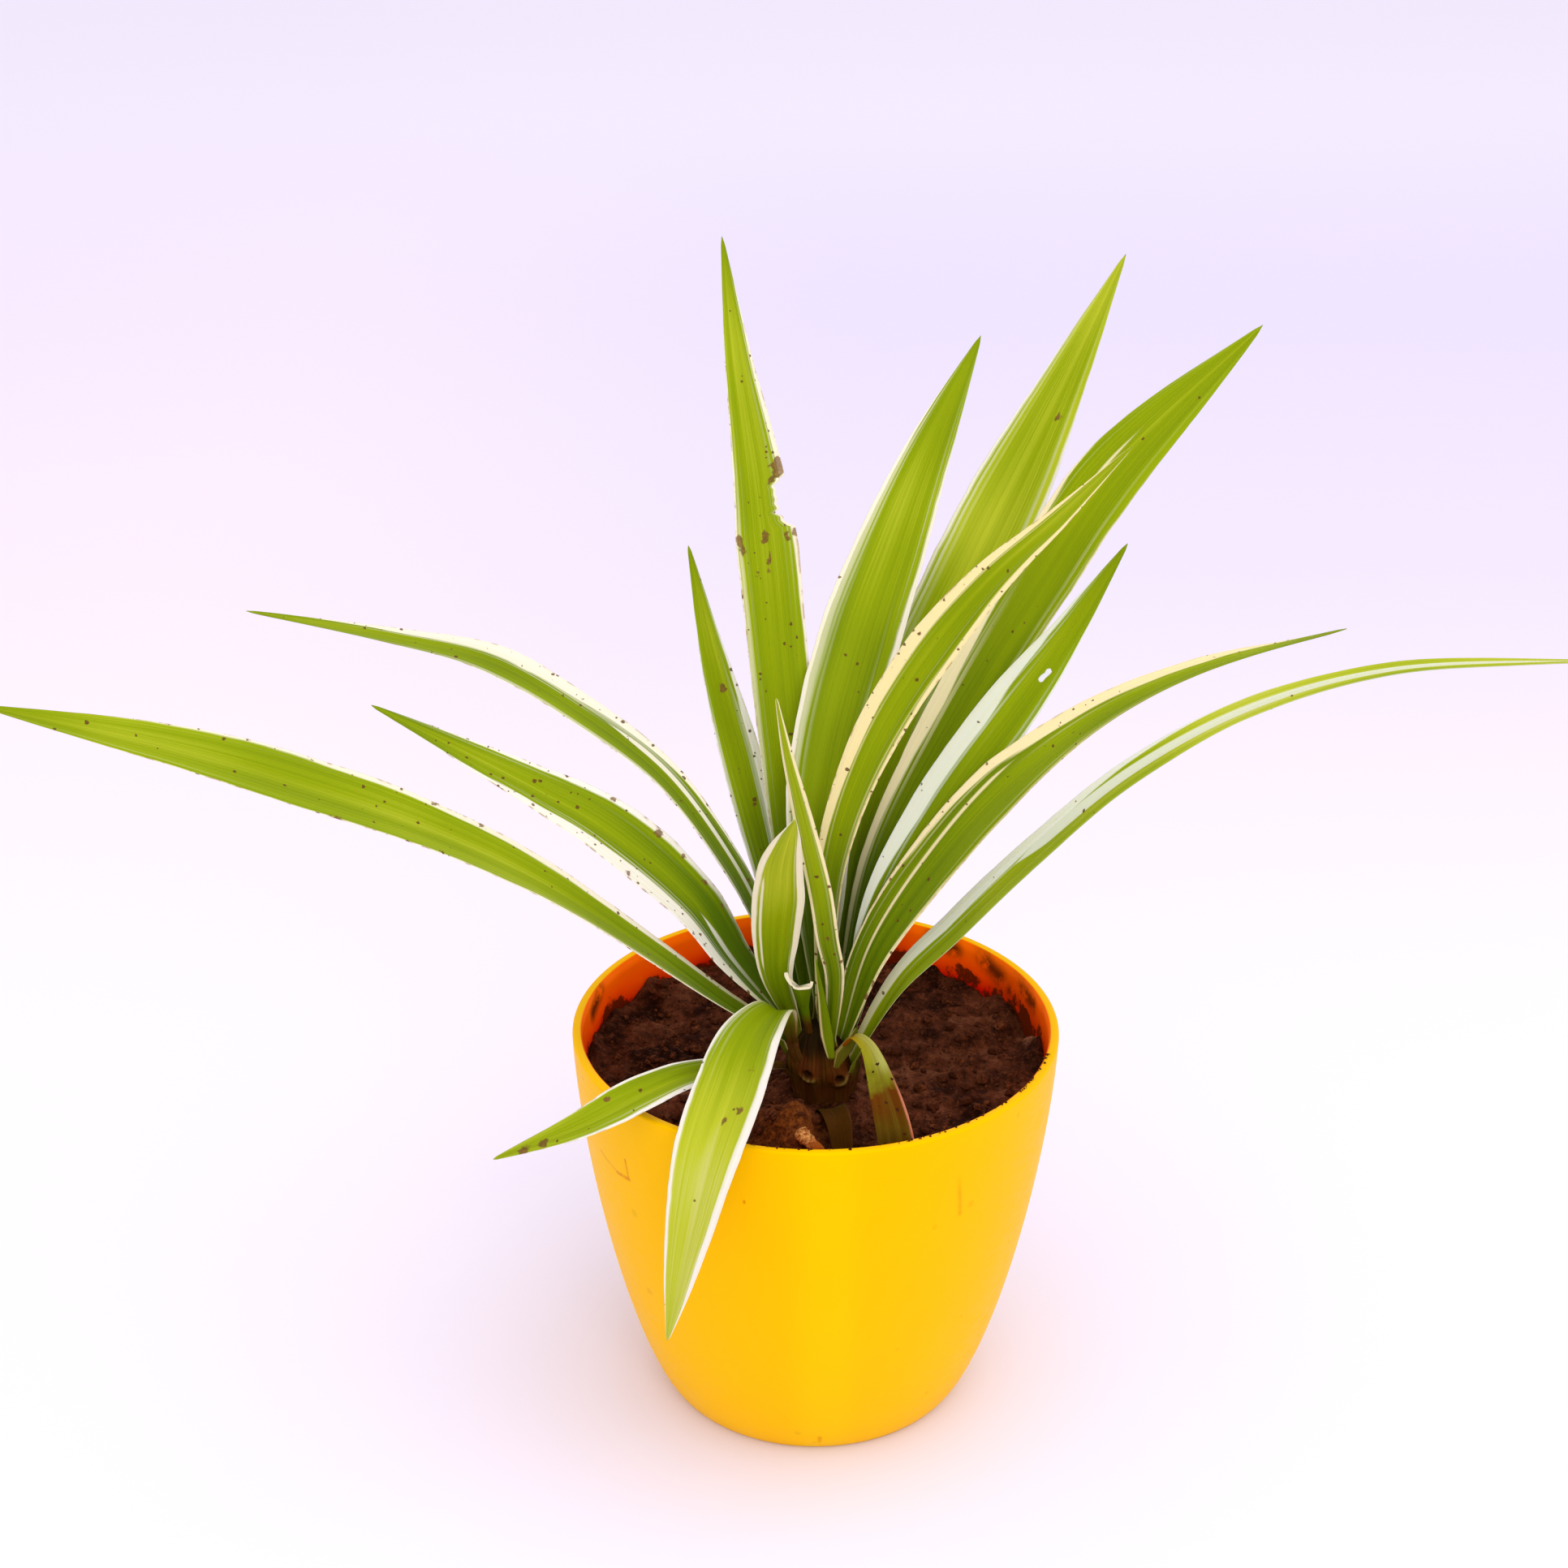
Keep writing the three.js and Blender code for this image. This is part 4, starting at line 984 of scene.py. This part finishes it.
def stem(material):
    """Short stem inside the leaf bases: oval rings flowing upwards, ribbed, with two round scars."""
    rings, _ = flowing_line(STEM_CORE, 400)
    rings = places(rings, np.linspace(0, 1, 140))
    angle = turns(260)[None]
    z, x0, a, b = (rings[:, i, None] for i in range(4))
    twist = angle + 0.012 * (z - 80)
    rib = 1 + 0.05 * np.cos(7 * angle) + 0.02 * np.abs(np.sin(11.5 * twist)) + 0.008 * np.cos(41 * twist)
    x = x0 + a * rib * np.cos(angle)
    y = STEM_Y + b * rib * np.sin(angle)
    z = z + 0 * angle
    front = smooth(-np.sin(angle), 0.2, 0.6)
    rust, lip, socket = np.zeros(x.shape), np.zeros(x.shape), np.zeros(x.shape)
    swelling_height, collar_height, hole_depth = SCAR["heights"]
    for sx, sz, side in SCARS:
        gap = np.hypot((x - sx) * 0.9, z - sz)
        below = smooth((sz - z) + side * (x - sx), -0.2, 1.4)
        collar = np.exp(-(((gap - SCAR["collar"]) / SCAR["collar_half"]) ** 2)) * (0.25 + 0.75 * below)
        hole = np.exp(-((gap / SCAR["hole"]) ** 4))
        swelling = np.exp(-((gap / SCAR["swelling"]) ** 4))
        y = y - front * (swelling_height * swelling + collar_height * collar - hole_depth * hole)
        rust = np.maximum(rust, front * np.exp(-(((gap + 0.35 * (sz - z)) / SCAR["rust"]) ** 2)))
        lip = np.maximum(lip, front * collar * below)
        socket = np.maximum(socket, front * hole)
    skin = np.stack([x, y, z], -1)
    bump = 0.26 * lattice_noise(skin * (1, 1, 0.45), 1.3, 12)[..., None] * (1 - socket[..., None])
    skin[..., :2] += unit(np.stack([np.cos(angle) + 0 * x, np.sin(angle) + 0 * x], -1)) * bump
    return tube_piece("stem", skin, material, {"rust": rust, "lip": lip, "socket": socket})


def bark_chip(material):
    """Dry chip on the lump: a tapering rod along a line, its skin roughened, its cut end blunt."""
    line, _ = flowing_line(CHIP_LINE)
    s = np.linspace(0, 1, 60)
    place = places(line, s)
    angle = turns(30)[None]
    blunt = np.sqrt(np.clip(s / 0.07, 0.02, 1))
    r = ((1.45 - 0.55 * s) * blunt)[:, None] * (1 + 0.12 * np.cos(3 * angle))
    axis = unit(place[-1] - place[0])
    side = unit(np.cross(axis, (0, 0, 1.0)))
    up = np.cross(side, axis)
    skin = place[:, None] + (r * np.cos(angle))[..., None] * side + (r * np.sin(angle))[..., None] * up
    skin = skin + 0.28 * lattice_noise(skin, 0.8, 3)[..., None] * unit(skin - place[:, None])
    cut_end = 1 - smooth(s, 0.25, 0.5)[:, None] + 0 * angle
    return tube_piece("bark_chip", skin, material, {"cut_end": cut_end})


def blade_values(shape, left, right, cream, dirt, tone):
    """The values that the striped blade's material reads, for a piece without an inner line."""
    return {"margins": filled(shape, left, right, cream), "inner_line": filled(shape, 0, -0.1, 3.0),
            "marks": filled(shape, dirt, 0, tone)}


def cut_stub(material):
    """Short cut leaf base: a gutter open to the back that flares upwards, its cut rim rolled outwards.

    Across it the angle about its middle line turns, and along it the radius grows and then rolls over."""
    wall_rows, rim_rows, thick, curl = 40, 12, 0.26, math.radians(215)
    line, _ = flowing_line(STUB_LINE)
    s = np.concatenate([np.linspace(0, 1, wall_rows), np.ones(rim_rows)])
    roll = np.concatenate([np.zeros(wall_rows), np.linspace(0, 1, rim_rows + 1)[1:]])[:, None] * curl
    place = places(line, s)
    s = s[:, None]
    turn = np.linspace(-1, 1, 49)[None]
    lip = 0.24 * (1 + 0.25 * np.sin(5 * turn))
    r = 0.7 + 0.5 * s + 1.25 * smooth(s, 0.5, 1.05) + lip * (1 - np.cos(roll))
    rise = (1.5 * turn**2 - 0.9 * turn + 0.2 * np.sin(6 * turn)) * smooth(s, 0.6, 1) + lip * np.sin(roll)
    angle = math.radians(84) * turn * (1.15 - 0.15 * s)

    def wall(radius):
        return place[:, None] + np.stack([radius * np.sin(angle), -0.75 * radius * np.cos(angle), rise], -1)

    both = np.concatenate([wall(r), wall(r - thick)[:, ::-1]], 1)
    across = np.concatenate([turn, turn[:, ::-1]], 1) + 0 * both[..., 0]
    pale = smooth(s, 0.96, 1.0) * 2.2 + 0 * across
    pale[:, turn.shape[1]:] = np.maximum(pale[:, turn.shape[1]:], 0.3)
    # Along starts below 0, so the stub's foot takes the sheath's dark colours: partly painted shade.
    own = np.stack([(across + 1) / 2, -0.22 + 0.5 * s + 0 * across], -1)
    return tube_piece("blade_cut_stub", both, material,
                      blade_values(across.shape, pale - 0.1, pale - 0.1, 0.6, 0.1, -0.05), own)


def old_leaf(name, leaf, seed, material):
    """An old blade of the same form as the striped ones."""
    grid, own, s, _, _ = blade_grid(leaf, seed, steps=90)
    return tube_piece(name, grid, material, {"age": np.full(s.shape, leaf["age"])}, own)


def sheath_strip(name, midrib, widths, along, tone, edge, material):
    """Strip of an old sheath that lies on the stem, with a pale left edge and its sides bent back.

    Across it, at u from -1 to 1, a place is the midrib's plus (u, 0.35 u^2) times half the width."""
    line, _ = flowing_line(midrib)
    s = np.linspace(0, 1, 50)
    ring, face = across_and_back(np.linspace(-1, 1, 13))
    half = np.interp(s, np.linspace(0, 1, len(widths)), widths)[:, None] / 2
    thick = 0.12 * np.sqrt(np.clip(1 - np.abs(ring) ** 9, 0, 1)) * face
    bent = np.stack([half * ring, half * 0.35 * ring**2 - thick, 0.3 * half * ring**2], -1)
    own = np.stack([(ring + 1) / 2 + 0 * half, np.interp(s, [0, 1], along)[:, None] + 0 * half * ring], -1)
    return tube_piece(name, places(line, s)[:, None] + bent, material,
                      blade_values(bent.shape[:2], edge, -0.1, 1.0, 0.3, tone), own)


def pale_floor(material):
    """Level disc of rings from the middle out, far wider than any view of the plant."""
    rings, sides, reach = 24, 96, 5500
    profile = np.stack([1 + reach * np.linspace(0, 1, rings) ** 2, np.zeros(rings)], 1)
    quads, middle, _ = tube_faces(rings, sides)
    points = np.vstack([turned_grid(profile, sides).reshape(-1, 3), (0, 0, 0)])
    return make_piece("pale_floor", points, [quads[:, ::-1], middle[:, ::-1]], material)


# Putting it together

def place_on(piece, slot, *nodes):
    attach(piece, "root")
    if nodes:
        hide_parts(*nodes)


veins, marks = fine_veins_group(), dry_marks_group()
striped = striped_blade_material(veins, marks)
spent = old_leaf_material(veins, marks)

place_on(yellow_pot(pot_material(marks)), "pot_plastic", "pot")
place_on(potting_soil(soil_material()), "soil", "soil")
place_on(soil_crumbs(crumb_material()), "soil")
place_on(stem(stem_material(veins, marks)), "stem", "crown")
place_on(bark_chip(bark_material()), "soil")
for number, (name, leaf) in enumerate(LEAVES.items(), 1):
    place_on(striped_leaf("blade_" + name, leaf, number, striped), "leaf_green", "leaf_" + name)
for number, (name, leaf) in enumerate(OLD_LEAVES.items(), 31):
    place_on(old_leaf("blade_" + name, leaf, number, spent), "leaf_old", "leaf_" + name)
place_on(cut_stub(striped), "leaf_green", "leaf_cut_stub")
for name, strip in STRIPS.items():
    place_on(sheath_strip("sheath_" + name, material=striped, **strip), "leaf_green")

pale_floor(floor_material())


# Light and camera

def soft_box(name, place, size, power, colour):
    """A square area light at place, facing the plant, in metres and watts."""
    light = bpy.data.lights.new(name, "AREA")
    light.shape, light.size, light.energy, light.color = "SQUARE", size, power, colour
    x, y, z = (t - p for t, p in zip((0, 0, 0.08), place))
    lamp = link(name, light)
    lamp.location = place
    lamp.rotation_euler = (math.atan2(math.hypot(x, y), -z), 0, math.atan2(-x, y))


soft_box("top_light", (0.2, -0.32, 1.3), 1.2, 6.2, (1.0, 0.98, 0.97))
soft_box("front_light", (0.35, -1.25, 0.75), 0.5, 2.6, (1.0, 0.98, 0.98))

world = bpy.data.worlds.new("pale_room")
world.use_nodes = True
room = world.node_tree.nodes["Background"].inputs
room["Color"].default_value = (0.94, 0.9, 1.0, 1)
room["Strength"].default_value = 0.95
bpy.context.scene.world = world
bpy.context.scene.view_settings.view_transform = "Standard"

lens = bpy.data.cameras.new("view_camera")
lens.sensor_width = SENSOR
lens.lens = SENSOR / 2 / math.tan(math.radians(VIEW_ANGLE / 2))
lens.clip_start, lens.clip_end = 0.02, 30
camera = link("view_camera", lens)
camera.location = (-0.0065, -0.5235, 0.3863)
camera.rotation_euler = (math.radians(90 - LOOKING_DOWN), 0, 0)
bpy.context.scene.camera = camera
